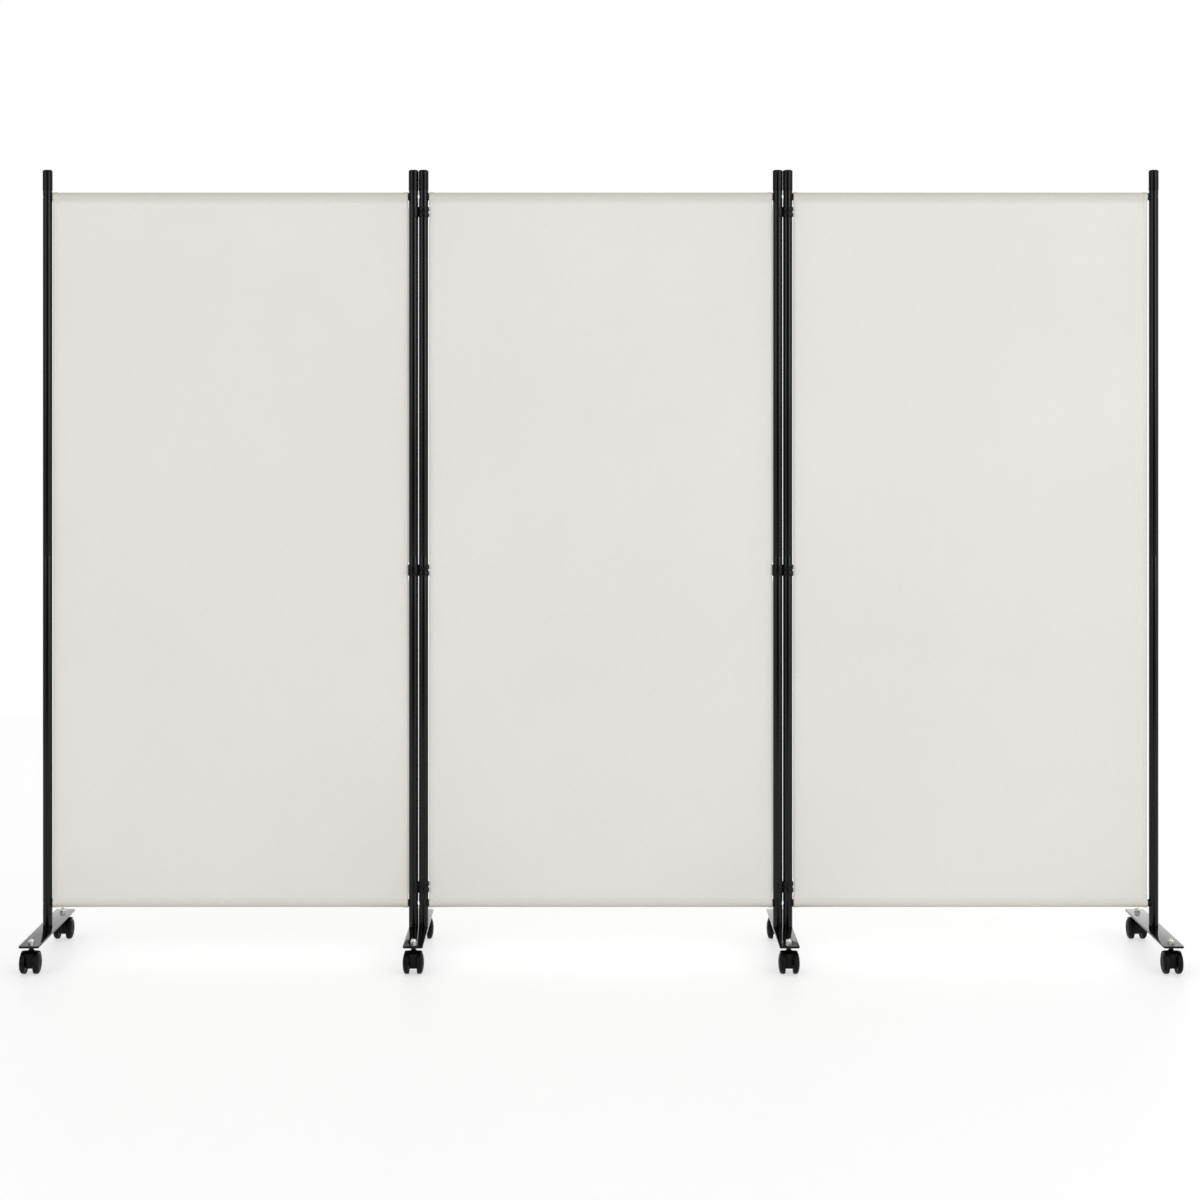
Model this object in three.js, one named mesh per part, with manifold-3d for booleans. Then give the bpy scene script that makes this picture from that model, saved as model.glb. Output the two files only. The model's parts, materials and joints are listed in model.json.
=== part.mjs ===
// A folding privacy screen of three fabric panels on swivel casters.
// Millimetres, +Z up. The origin is on the floor below the centre of the middle panel.
// The panels run along X and the front faces -Y.

import * as THREE from "three";
import { mergeVertices } from "three/addons/utils/BufferGeometryUtils.js";
import Module from "manifold-3d";

const wasm = await Module();
wasm.setup();

// Whole screen
const TOTAL_HEIGHT = 1780;
const SIDE_SPAN = 829; // post axis to post axis on the two side panels
const MIDDLE_SPAN = 802; // post axis to post axis on the middle panel

// Gap between neighbouring pieces, and how far a cut runs past what it cuts
const CLEARANCE = 0.3;
const OVERRUN = 1;

// Posts: a lower and an upper tube on a joiner sleeve
const POST_DIAMETER = 21;
const POST_WALL = 0.8;
const POST_JOINT_HEIGHT = 905;
const JOINER_WALL = 1;
const JOINER_LENGTH = 120;

// Caps on the posts
const CAP_HEIGHT = 47;
const CAP_WALL = 0.4;
const CAP_ROOF = 3;
const CAP_EDGE_RADIUS = 2.5;

// Rails: a tube with an end plug and a bolt at each post
const RAIL_DIAMETER = 16;
const RAIL_WALL = 1;
const RAIL_BELOW_CAP = 14; // from a cap's lower edge to the top rail's axis
const PLUG_COLLAR_WALL = 0.5; // the collar stands this far over the rail
const PLUG_COLLAR_REACH = 1.6; // and ends this far past the post's side
const PLUG_LENGTH = 15;
const DRAIN_HOLE_DIAMETER = 4;
const DRAIN_HOLE_INSET = 30; // from the plug's inner end
const BOLT_DIAMETER = 6;
const BOLT_HEAD_DIAMETER = 9.6;
const BOLT_HEAD_HEIGHT = 3.5;
const ACCESS_HOLE_MARGIN = 0.7; // round the bolt's head, where it goes in through the post

// Fabric: one taut sheet with a sewn pocket round each rail
const FABRIC_THICKNESS = 1.2;
const POCKET_WALL = 0.8;
const POCKET_SEAM_REACH = 14; // from a rail's axis to the seam that closes the pocket
const FABRIC_LEFT_SLACK = 1.6; // extra gap at the left edge of each sheet
const FABRIC_END_SLACK = 2.1; // extra gap at the right edge of the last sheet

// Connectors that hold two posts side by side
const CONNECTOR_WALL = 2.2;
const CONNECTOR_BRIDGE_DEPTH = 14;
const TOP_CONNECTOR_HEIGHT = 23;
const MIDDLE_CONNECTOR_HEIGHT = 26;
const BOTTOM_CONNECTOR_HEIGHT = 25;
const TOP_CONNECTOR_DROP = 35; // from the top rail's axis to the connector's middle
const BOTTOM_CONNECTOR_RISE = 37; // from the bottom rail's axis to the connector's middle
const MIDDLE_CONNECTOR_DROP = 32; // from the post joint to the connector's middle
const CLIP_REACH = 4.4; // how far an open clip's arms pass the post's axis

// Feet: a flat bar with stubs that go up into the posts
const PLATE_LENGTH = 360;
const PLATE_WIDTH = 44;
const PLATE_THICKNESS = 4;
const PLATE_CORNER_RADIUS = 5;
const STUB_HEIGHT = 40;
const RAIL_OVER_STUB = 14.5; // from a stub's end to the bottom rail's axis

// Caster studs and their cap nuts
const STUD_INSET = 28; // from the end of the bar
const STUD_DIAMETER = 8;
const NUT_ACROSS_FLATS = 13;
const NUT_HEIGHT = 6.5; // of the six flats
const NUT_DOME_DIAMETER = 12.4;
const NUT_DOME_HEIGHT = 5.8;

// Twin-wheel casters
const WHEEL_DIAMETER = 48;
const TREAD_WIDTH = 9;
const WHEEL_DOME_DEPTH = 5.6;
const WHEEL_SIDE_GAP = 0.4;
const AXLE_DIAMETER = 6;
const AXLE_LAND = 8; // hood material round the axle hole
const CASTER_TRAIL = 7; // from the stud's axis to the axle
const HOOD_WEB_WIDTH = 17;
const FENDER_GAP = 1.2;
const FENDER_WALL = 1.3;
const FENDER_OVERHANG = 0.85;
const NECK_DIAMETER = 11.4;
const NECK_HEIGHT = 10; // from the fender's top to the bar
const NECK_ROOT = 8; // how deep the neck is set in the hood
const SOCKET_FLOOR = 3; // hood material between the axle hole and the stud's socket

// Angles in degrees, from the side of the stud and over the top
const FENDER_START_DEGREES = -12;
const FENDER_END_DEGREES = 125;

// Counts of sides and steps
const POST_SIDES = 16;
const RAIL_SIDES = 12;
const RING_SIDES = 16;
const BOLT_SIDES = 8;
const ACCESS_HOLE_SIDES = 10;
const STUD_SIDES = 12;
const NUT_SIDES = 6;
const NUT_DOME_RINGS = 6;
const WHEEL_SIDES = 16;
const DOME_STEPS = 2;
const FENDER_STEPS = 8;
const CORNER_STEPS = 3;
const POCKET_STEPS = 14;
const EDGE_STEPS = 2;

// Sizes that follow from the ones above
const POST_RADIUS = POST_DIAMETER / 2;
const POST_BORE_RADIUS = POST_RADIUS - POST_WALL;
const CAP_RADIUS = POST_RADIUS + CLEARANCE + CAP_WALL;
const PAIR_SPACING = 2 * CAP_RADIUS + CLEARANCE; // the two caps of a pair touch
const RAIL_RADIUS = RAIL_DIAMETER / 2;
const COLLAR_RADIUS = RAIL_RADIUS + PLUG_COLLAR_WALL;
const COLLAR_END = POST_RADIUS + PLUG_COLLAR_REACH;
const CONNECTOR_RADIUS = POST_RADIUS + CLEARANCE + CONNECTOR_WALL;
const FABRIC_EDGE = Math.max(CONNECTOR_RADIUS, COLLAR_END) + CLEARANCE;
const WHEEL_RADIUS = WHEEL_DIAMETER / 2;
const FENDER_BORE_RADIUS = WHEEL_RADIUS + FENDER_GAP;
const FENDER_RADIUS = FENDER_BORE_RADIUS + FENDER_WALL;
const AXLE_BORE_RADIUS = AXLE_DIAMETER / 2 + CLEARANCE;
const TREAD_START = HOOD_WEB_WIDTH / 2 + WHEEL_SIDE_GAP;
const TREAD_END = TREAD_START + TREAD_WIDTH;

// Heights over the floor
const FENDER_TOP = WHEEL_RADIUS + FENDER_RADIUS;
const PLATE_BOTTOM = FENDER_TOP + NECK_HEIGHT;
const PLATE_TOP = PLATE_BOTTOM + PLATE_THICKNESS;
const SOCKET_BOTTOM = WHEEL_RADIUS + AXLE_BORE_RADIUS + SOCKET_FLOOR;
const BOTTOM_RAIL_Z = PLATE_TOP + STUB_HEIGHT + RAIL_OVER_STUB;
const CAP_BOTTOM = TOTAL_HEIGHT - CAP_HEIGHT;
const TOP_RAIL_Z = CAP_BOTTOM - RAIL_BELOW_CAP;
const POST_TOP = TOTAL_HEIGHT - CAP_ROOF - CLEARANCE;

// Post axes, from the middle of the screen outwards
const MIDDLE_POST_X = MIDDLE_SPAN / 2;
const INNER_POST_X = MIDDLE_POST_X + PAIR_SPACING;
const OUTER_POST_X = INNER_POST_X + SIDE_SPAN;
const PAIR_X = MIDDLE_POST_X + PAIR_SPACING / 2;

// Finishes
const blackMetal = new THREE.MeshStandardMaterial({
  color: 0x17171a,
  roughness: 0.42,
  metalness: 0.3,
});
const blackPlastic = new THREE.MeshStandardMaterial({
  color: 0x121213,
  roughness: 0.55,
  metalness: 0,
});
const glossBlackMetal = new THREE.MeshStandardMaterial({
  color: 0x1c1c1e,
  roughness: 0.2,
  metalness: 0.3,
});
const bareSteel = new THREE.MeshStandardMaterial({
  color: 0xa8a9ab,
  roughness: 0.35,
  metalness: 1,
});
const offWhiteFabric = new THREE.MeshStandardMaterial({
  color: 0xe6e3dd,
  roughness: 0.95,
  metalness: 0,
});

// The corner radius of a polygon whose flats lie on a circle.
function overFlats(radius, sides) {
  return radius / Math.cos(Math.PI / sides);
}

// A three.js geometry as a solid that can be joined and cut.
function solidOf(geometry) {
  const bare = geometry.clone();
  bare.deleteAttribute("normal");
  bare.deleteAttribute("uv");
  const merged = mergeVertices(bare);
  const mesh = new wasm.Mesh({
    numProp: 3,
    vertProperties: merged.attributes.position.array,
    triVerts: Uint32Array.from(merged.index.array),
  });
  return new wasm.Manifold(mesh);
}

function geometryOf(solid) {
  const mesh = solid.getMesh();
  const geometry = new THREE.BufferGeometry();
  geometry.setAttribute("position", new THREE.BufferAttribute(mesh.vertProperties, 3));
  geometry.setIndex(new THREE.BufferAttribute(mesh.triVerts, 1));
  geometry.computeVertexNormals();
  return geometry;
}

// A round rod that stands on the given height.
function rod(radius, bottom, top, sides) {
  const geometry = new THREE.CylinderGeometry(radius, radius, top - bottom, sides);
  geometry.rotateX(Math.PI / 2);
  geometry.translate(0, 0, (top + bottom) / 2);
  return geometry;
}

// A round rod along X, between two places on it.
function crossRod(radius, start, end, sides) {
  const geometry = new THREE.CylinderGeometry(radius, radius, end - start, sides);
  geometry.rotateZ(-Math.PI / 2);
  geometry.translate((start + end) / 2, 0, 0);
  return geometry;
}

// A round pipe that stands on the given height.
function pipe(outerRadius, innerRadius, bottom, top, sides) {
  const profile = [
    new THREE.Vector2(outerRadius, bottom),
    new THREE.Vector2(outerRadius, top),
    new THREE.Vector2(innerRadius, top),
    new THREE.Vector2(innerRadius, bottom),
    new THREE.Vector2(outerRadius, bottom),
  ];
  const geometry = new THREE.LatheGeometry(profile, sides);
  geometry.rotateX(Math.PI / 2);
  return geometry;
}

// A profile turned about X: each point is a radius and a place on X.
function turnedAboutX(profile, sides, startAngle) {
  const geometry = new THREE.LatheGeometry(profile, sides, startAngle);
  geometry.rotateZ(-Math.PI / 2);
  return geometry;
}

// A shape drawn in Y and Z, and made thick along X about its middle.
function thickAlongX(shape, width) {
  const geometry = new THREE.ExtrudeGeometry(shape, { depth: width, bevelEnabled: false });
  geometry.translate(0, 0, -width / 2);
  const drawnToWorld = new THREE.Matrix4().makeBasis(
    new THREE.Vector3(0, 1, 0),
    new THREE.Vector3(0, 0, 1),
    new THREE.Vector3(1, 0, 0),
  );
  geometry.applyMatrix4(drawnToWorld);
  return geometry;
}

// Points on a circle, between two angles in degrees.
function arcPoints(centreX, centreY, radius, startDegrees, endDegrees, steps) {
  const points = [];
  for (let i = 0; i <= steps; i++) {
    const degrees = startDegrees + ((endDegrees - startDegrees) * i) / steps;
    const angle = THREE.MathUtils.degToRad(degrees);
    const x = centreX + radius * Math.cos(angle);
    const y = centreY + radius * Math.sin(angle);
    points.push(new THREE.Vector2(x, y));
  }
  return points;
}

// A post tube with the hole for a rail's bolt, on the side of the rail (+X),
// and across from it the wider hole that the bolt's head goes in through.
function postTube(bottom, top, boltHeight) {
  const boltHoleRadius = overFlats(BOLT_DIAMETER / 2 + CLEARANCE, BOLT_SIDES);
  const headRoom = BOLT_HEAD_DIAMETER / 2 + ACCESS_HOLE_MARGIN;
  const reach = POST_RADIUS + OVERRUN;
  const boltHole = crossRod(boltHoleRadius, 0, reach, BOLT_SIDES);
  const accessHole = crossRod(headRoom, -reach, 0, ACCESS_HOLE_SIDES);
  boltHole.translate(0, 0, boltHeight);
  accessHole.translate(0, 0, boltHeight);
  const tube = solidOf(pipe(POST_RADIUS, POST_BORE_RADIUS, bottom, top, POST_SIDES));
  return geometryOf(tube.subtract(solidOf(boltHole)).subtract(solidOf(accessHole)));
}

function joiner() {
  const radius = POST_BORE_RADIUS - CLEARANCE;
  const bottom = POST_JOINT_HEIGHT - JOINER_LENGTH / 2;
  const top = POST_JOINT_HEIGHT + JOINER_LENGTH / 2;
  return pipe(radius, radius - JOINER_WALL, bottom, top, POST_SIDES);
}

// A cup over the post's end, with a rounded top edge.
function cap() {
  const ceiling = TOTAL_HEIGHT - CAP_ROOF;
  const boreRadius = CAP_RADIUS - CAP_WALL;
  const edgeRadius = Math.min(CAP_EDGE_RADIUS, CAP_ROOF);
  const edgeCentreRadius = CAP_RADIUS - edgeRadius;
  const edgeCentreHeight = TOTAL_HEIGHT - edgeRadius;
  const profile = [
    new THREE.Vector2(0, ceiling),
    new THREE.Vector2(boreRadius, ceiling),
    new THREE.Vector2(boreRadius, CAP_BOTTOM),
    new THREE.Vector2(CAP_RADIUS, CAP_BOTTOM),
    ...arcPoints(edgeCentreRadius, edgeCentreHeight, edgeRadius, 0, 90, EDGE_STEPS),
    new THREE.Vector2(0, TOTAL_HEIGHT),
  ];
  const geometry = new THREE.LatheGeometry(profile, POST_SIDES);
  geometry.rotateX(Math.PI / 2);
  return geometry;
}

// The bolt at the rail's +X end: its shank in the plug and its head inside the post.
function railBolt(postX) {
  const headRadius = BOLT_HEAD_DIAMETER / 2;
  const wallAtHead = Math.sqrt(POST_BORE_RADIUS ** 2 - headRadius ** 2);
  const headFace = postX - wallAtHead + CLEARANCE;
  const shankStart = postX - POST_RADIUS - PLUG_LENGTH / 2;
  const head = crossRod(headRadius, headFace, headFace + BOLT_HEAD_HEIGHT, BOLT_SIDES);
  const shank = crossRod(BOLT_DIAMETER / 2, shankStart, headFace + OVERRUN, BOLT_SIDES);
  return solidOf(head).add(solidOf(shank));
}

// A rail between two posts, about its own middle: a tube whose end plugs are
// hollowed to fit the posts, with the bolt that holds it at each end. A small
// hole in its underside let the paint drain out.
function rail(span) {
  const postX = span / 2;
  const collarX = postX - COLLAR_END;
  const plugX = postX - POST_RADIUS - PLUG_LENGTH;
  const profile = [
    new THREE.Vector2(0, -postX),
    new THREE.Vector2(COLLAR_RADIUS, -postX),
    new THREE.Vector2(COLLAR_RADIUS, -collarX),
    new THREE.Vector2(RAIL_RADIUS, -collarX),
    new THREE.Vector2(RAIL_RADIUS, collarX),
    new THREE.Vector2(COLLAR_RADIUS, collarX),
    new THREE.Vector2(COLLAR_RADIUS, postX),
    new THREE.Vector2(0, postX),
  ];
  const bore = crossRod(RAIL_RADIUS - RAIL_WALL, -plugX, plugX, RAIL_SIDES);
  const drain = rod(DRAIN_HOLE_DIAMETER / 2, -RAIL_RADIUS - OVERRUN, 0, BOLT_SIDES);
  drain.translate(plugX - DRAIN_HOLE_INSET, 0, 0);
  let solid = solidOf(turnedAboutX(profile, RAIL_SIDES, 0));
  solid = solid.subtract(solidOf(bore)).subtract(solidOf(drain));
  const saddleRadius = overFlats(POST_RADIUS + CLEARANCE, POST_SIDES);
  const saddleReach = COLLAR_RADIUS + OVERRUN;
  for (const side of [-1, 1]) {
    const saddle = rod(saddleRadius, -saddleReach, saddleReach, POST_SIDES);
    saddle.translate(side * postX, 0, 0);
    solid = solid.subtract(solidOf(saddle));
  }
  const bolt = railBolt(postX);
  solid = solid.add(bolt).add(bolt.rotate([0, 0, 180]));
  return geometryOf(solid);
}

// Half of a sheet's outline round one rail, drawn as if the rail were at the top.
function pocketOutline(railHeight, up) {
  const radius = RAIL_RADIUS + CLEARANCE + POCKET_WALL;
  const leave = THREE.MathUtils.radToDeg(Math.acos(radius / POCKET_SEAM_REACH)) - 90;
  const points = arcPoints(0, 0, radius, leave, 180 - leave, POCKET_STEPS);
  const seamX = FABRIC_THICKNESS / 2;
  const outline = [
    new THREE.Vector2(seamX, -POCKET_SEAM_REACH),
    ...points,
    new THREE.Vector2(-seamX, -POCKET_SEAM_REACH),
  ];
  const turn = up ? 0 : Math.PI;
  const centre = new THREE.Vector2(0, 0);
  return outline.map((p) => p.rotateAround(centre, turn).add(new THREE.Vector2(0, railHeight)));
}

// One sheet with its two pockets, seen from its side edge and made wide along X.
function fabric(width) {
  const topPocket = pocketOutline(TOP_RAIL_Z, true);
  const bottomPocket = pocketOutline(BOTTOM_RAIL_Z, false);
  const shape = new THREE.Shape([...topPocket, ...bottomPocket]);
  const boreRadius = overFlats(RAIL_RADIUS + CLEARANCE, RAIL_SIDES);
  const lastCorner = 360 - 360 / RAIL_SIDES;
  for (const height of [TOP_RAIL_Z, BOTTOM_RAIL_Z]) {
    const bore = arcPoints(0, height, boreRadius, 0, lastCorner, RAIL_SIDES - 1);
    shape.holes.push(new THREE.Path(bore));
  }
  return thickAlongX(shape, width);
}

// A connector about its own middle: two rings joined by a bridge. An open one
// has a clip in place of its left ring.
function connector(height, isOpen) {
  const bottom = -height / 2;
  const top = height / 2;
  const ring = solidOf(rod(CONNECTOR_RADIUS, bottom, top, RING_SIDES));
  const boreRadius = overFlats(POST_RADIUS + CLEARANCE, RING_SIDES);
  const bore = solidOf(rod(boreRadius, bottom - OVERRUN, top + OVERRUN, RING_SIDES));
  const bridge = solidOf(new THREE.BoxGeometry(PAIR_SPACING, CONNECTOR_BRIDGE_DEPTH, height));
  const half = PAIR_SPACING / 2;
  let solid = bridge.add(ring.translate([-half, 0, 0])).add(ring.translate([half, 0, 0]));
  solid = solid.subtract(bore.translate([-half, 0, 0])).subtract(bore.translate([half, 0, 0]));
  if (isOpen) {
    const width = 2 * CONNECTOR_RADIUS;
    const mouth = new THREE.BoxGeometry(width, width + OVERRUN, height + OVERRUN);
    mouth.translate(-half - CLIP_REACH - CONNECTOR_RADIUS, 0, 0);
    solid = solid.subtract(solidOf(mouth));
  }
  return geometryOf(solid);
}

// The flat bar of a foot, with rounded corners.
function footBar() {
  const x = PLATE_WIDTH / 2 - PLATE_CORNER_RADIUS;
  const y = PLATE_LENGTH / 2 - PLATE_CORNER_RADIUS;
  const corners = [
    [x, y, 0],
    [-x, y, 90],
    [-x, -y, 180],
    [x, -y, 270],
  ];
  const outline = corners.flatMap(([cx, cy, start]) =>
    arcPoints(cx, cy, PLATE_CORNER_RADIUS, start, start + 90, CORNER_STEPS),
  );
  const shape = new THREE.Shape(outline);
  const bar = new THREE.ExtrudeGeometry(shape, { depth: PLATE_THICKNESS, bevelEnabled: false });
  bar.translate(0, 0, PLATE_BOTTOM);
  return bar;
}

// A cap nut from the given height up: its six flats and the dome on them.
function capNut(bottom) {
  const flatsTop = PLATE_TOP + NUT_HEIGHT;
  const flatsRadius = overFlats(NUT_ACROSS_FLATS / 2, NUT_SIDES);
  const flats = solidOf(rod(flatsRadius, bottom, flatsTop, NUT_SIDES));
  const domeRadius = NUT_DOME_DIAMETER / 2;
  const dome = new THREE.SphereGeometry(domeRadius, STUD_SIDES, NUT_DOME_RINGS);
  dome.rotateX(Math.PI / 2);
  dome.scale(1, 1, NUT_DOME_HEIGHT / domeRadius);
  dome.translate(0, 0, flatsTop);
  return flats.add(solidOf(dome));
}

// A foot: its bar, a stub for each post, and the studs and nuts of its casters.
function foot(stubPlaces) {
  const stubRadius = POST_BORE_RADIUS - CLEARANCE;
  const middle = (PLATE_TOP + PLATE_BOTTOM) / 2;
  const stub = solidOf(rod(stubRadius, middle, PLATE_TOP + STUB_HEIGHT, POST_SIDES));
  const nut = capNut(middle);
  const studBottom = SOCKET_BOTTOM + CLEARANCE;
  const stud = solidOf(rod(STUD_DIAMETER / 2, studBottom, PLATE_TOP + NUT_HEIGHT, STUD_SIDES));
  const studY = PLATE_LENGTH / 2 - STUD_INSET;
  let solid = solidOf(footBar());
  for (const x of stubPlaces) {
    solid = solid.add(stub.translate([x, 0, 0]));
  }
  for (const y of [-studY, studY]) {
    solid = solid.add(nut.translate([0, y, 0])).add(stud.translate([0, y, 0]));
  }
  return geometryOf(solid);
}

// The curved cover over both wheels, about the axle.
function fender() {
  const outer = arcPoints(0, 0, FENDER_RADIUS, FENDER_START_DEGREES, FENDER_END_DEGREES, FENDER_STEPS);
  const inner = arcPoints(0, 0, FENDER_BORE_RADIUS, FENDER_END_DEGREES, FENDER_START_DEGREES, FENDER_STEPS);
  const shape = new THREE.Shape([...outer, ...inner]);
  return thickAlongX(shape, 2 * (TREAD_END + FENDER_OVERHANG));
}

// The body of the hood between the wheels, about the axle, with the axle's hole.
function hoodWeb() {
  const land = AXLE_BORE_RADIUS + AXLE_LAND;
  const shape = new THREE.Shape([
    ...arcPoints(0, 0, FENDER_RADIUS, FENDER_START_DEGREES, FENDER_END_DEGREES, FENDER_STEPS),
    new THREE.Vector2(-land, -land),
    new THREE.Vector2(land, -land),
  ]);
  const holeRadius = overFlats(AXLE_BORE_RADIUS, STUD_SIDES);
  const lastCorner = 360 - 360 / STUD_SIDES;
  const hole = arcPoints(0, 0, holeRadius, 0, lastCorner, STUD_SIDES - 1);
  shape.holes.push(new THREE.Path(hole));
  return thickAlongX(shape, HOOD_WEB_WIDTH);
}

// A caster's hood, with its neck and the stud's socket on the swivel axis.
function hood() {
  const neckTop = PLATE_BOTTOM - CLEARANCE;
  const neck = solidOf(rod(NECK_DIAMETER / 2, FENDER_TOP - NECK_ROOT, neckTop, STUD_SIDES));
  const socketRadius = overFlats(STUD_DIAMETER / 2 + CLEARANCE, STUD_SIDES);
  const socket = solidOf(rod(socketRadius, SOCKET_BOTTOM, neckTop + OVERRUN, STUD_SIDES));
  const axle = [0, -CASTER_TRAIL, WHEEL_RADIUS];
  const body = solidOf(hoodWeb()).add(solidOf(fender())).translate(axle);
  return geometryOf(body.add(neck).subtract(socket));
}

// Half of a wheel's domed side: radius and distance from the caster's middle.
function domePoints() {
  const treadRadius = overFlats(WHEEL_RADIUS, WHEEL_SIDES);
  const points = [];
  for (let i = 0; i <= DOME_STEPS; i++) {
    const angle = (Math.PI / 2) * (i / DOME_STEPS);
    const x = TREAD_END + WHEEL_DOME_DEPTH * Math.cos(angle);
    points.push(new THREE.Vector2(i ? treadRadius * Math.sin(angle) : 0, x));
  }
  return points;
}

// Both wheels of a caster on their axle, about the axle's middle. A flat of the
// tread faces the floor.
function wheelPair() {
  const treadRadius = overFlats(WHEEL_RADIUS, WHEEL_SIDES);
  const axleRadius = AXLE_DIAMETER / 2;
  const right = domePoints().reverse();
  const left = domePoints().map((p) => new THREE.Vector2(p.x, -p.y));
  const profile = [
    ...left,
    new THREE.Vector2(treadRadius, -TREAD_START),
    new THREE.Vector2(axleRadius, -TREAD_START),
    new THREE.Vector2(axleRadius, TREAD_START),
    new THREE.Vector2(treadRadius, TREAD_START),
    ...right,
  ];
  return turnedAboutX(profile, WHEEL_SIDES, Math.PI / WHEEL_SIDES);
}

// Shapes that several pieces share
const lowerTubeShape = postTube(
  PLATE_TOP + CLEARANCE,
  POST_JOINT_HEIGHT - CLEARANCE / 2,
  BOTTOM_RAIL_Z,
);
const upperTubeShape = postTube(POST_JOINT_HEIGHT + CLEARANCE / 2, POST_TOP, TOP_RAIL_Z);
const joinerShape = joiner();
const capShape = cap();
const hoodShape = hood();
const wheelPairShape = wheelPair();

function addPiece(parent, name, geometry, material) {
  const mesh = new THREE.Mesh(geometry, material);
  mesh.name = name;
  parent.add(mesh);
  return mesh;
}

// A post at x. Its rail is on its right side, unless it is turned round.
function addPost(parent, name, x, isTurned) {
  const post = new THREE.Group();
  post.position.x = x;
  post.rotation.z = isTurned ? Math.PI : 0;
  addPiece(post, name + "_lower_tube", lowerTubeShape, blackMetal);
  addPiece(post, name + "_upper_tube", upperTubeShape, blackMetal);
  addPiece(post, name + "_joiner", joinerShape, bareSteel);
  addPiece(post, name + "_cap", capShape, blackPlastic);
  parent.add(post);
}

// A panel between two posts: its posts, rails and sheet.
function addPanel(parent, panel) {
  const { name, leftPost, rightPost, leftX, rightX, rightSlack } = panel;
  const middleX = (leftX + rightX) / 2;
  const span = rightX - leftX;
  addPost(parent, leftPost, leftX, false);
  addPost(parent, rightPost, rightX, true);
  const railShape = rail(span);
  const topRail = addPiece(parent, name + "_top_rail", railShape, blackMetal);
  topRail.position.set(middleX, 0, TOP_RAIL_Z);
  const bottomRail = addPiece(parent, name + "_bottom_rail", railShape, blackMetal);
  bottomRail.position.set(middleX, 0, BOTTOM_RAIL_Z);
  const sheetLeft = leftX + FABRIC_EDGE + FABRIC_LEFT_SLACK;
  const sheetRight = rightX - FABRIC_EDGE - rightSlack;
  const sheet = addPiece(parent, name + "_fabric", fabric(sheetRight - sheetLeft), offWhiteFabric);
  sheet.position.x = (sheetLeft + sheetRight) / 2;
}

// The three connectors of a hinged pair of posts.
function addConnectors(parent, name, x) {
  const middleZ = POST_JOINT_HEIGHT - MIDDLE_CONNECTOR_DROP;
  const top = addPiece(
    parent,
    name + "_top_connector",
    connector(TOP_CONNECTOR_HEIGHT, true),
    blackPlastic,
  );
  const middle = addPiece(
    parent,
    name + "_middle_connector",
    connector(MIDDLE_CONNECTOR_HEIGHT, false),
    blackPlastic,
  );
  const bottom = addPiece(
    parent,
    name + "_bottom_connector",
    connector(BOTTOM_CONNECTOR_HEIGHT, true),
    blackPlastic,
  );
  top.position.set(x, 0, TOP_RAIL_Z - TOP_CONNECTOR_DROP);
  middle.position.set(x, 0, middleZ);
  bottom.position.set(x, 0, BOTTOM_RAIL_Z + BOTTOM_CONNECTOR_RISE);
}

// A caster on the swivel axis at x and y. Its wheels trail to the front, or to
// the rear where it is turned round.
function addCaster(parent, name, x, y, isTurned) {
  const caster = new THREE.Group();
  caster.position.set(x, y, 0);
  caster.rotation.z = isTurned ? Math.PI : 0;
  addPiece(caster, name + "_hood", hoodShape, blackPlastic);
  const wheels = addPiece(caster, name + "_wheels", wheelPairShape, blackPlastic);
  wheels.position.set(0, -CASTER_TRAIL, WHEEL_RADIUS);
  parent.add(caster);
}

// A foot at x, with a caster near each end of its bar.
function addFoot(parent, name, x, stubPlaces) {
  const mesh = addPiece(parent, name + "_foot", foot(stubPlaces), glossBlackMetal);
  mesh.position.x = x;
  const studY = PLATE_LENGTH / 2 - STUD_INSET;
  addCaster(parent, name + "_front_caster", x, -studY, false);
  addCaster(parent, name + "_rear_caster", x, studY, true);
}

const screen = new THREE.Group();
const panels = [
  {
    name: "left",
    leftPost: "left_outer_post",
    rightPost: "left_inner_post",
    leftX: -OUTER_POST_X,
    rightX: -INNER_POST_X,
    rightSlack: 0,
  },
  {
    name: "middle",
    leftPost: "middle_left_post",
    rightPost: "middle_right_post",
    leftX: -MIDDLE_POST_X,
    rightX: MIDDLE_POST_X,
    rightSlack: 0,
  },
  {
    name: "right",
    leftPost: "right_inner_post",
    rightPost: "right_outer_post",
    leftX: INNER_POST_X,
    rightX: OUTER_POST_X,
    rightSlack: FABRIC_END_SLACK,
  },
];
for (const panel of panels) {
  addPanel(screen, panel);
}
addConnectors(screen, "left_pair", -PAIR_X);
addConnectors(screen, "right_pair", PAIR_X);
addFoot(screen, "left_outer", -OUTER_POST_X, [0]);
addFoot(screen, "left_pair", -PAIR_X, [-PAIR_SPACING / 2, PAIR_SPACING / 2]);
addFoot(screen, "right_pair", PAIR_X, [-PAIR_SPACING / 2, PAIR_SPACING / 2]);
addFoot(screen, "right_outer", OUTER_POST_X, [0]);

export default screen;
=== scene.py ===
# A folding privacy screen: three fabric panels in round black frames on swivel casters.
# Metres, +Z up, the front faces -Y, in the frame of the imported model.
import json
import math

import bpy
from mathutils import Matrix, Vector, noise

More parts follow.
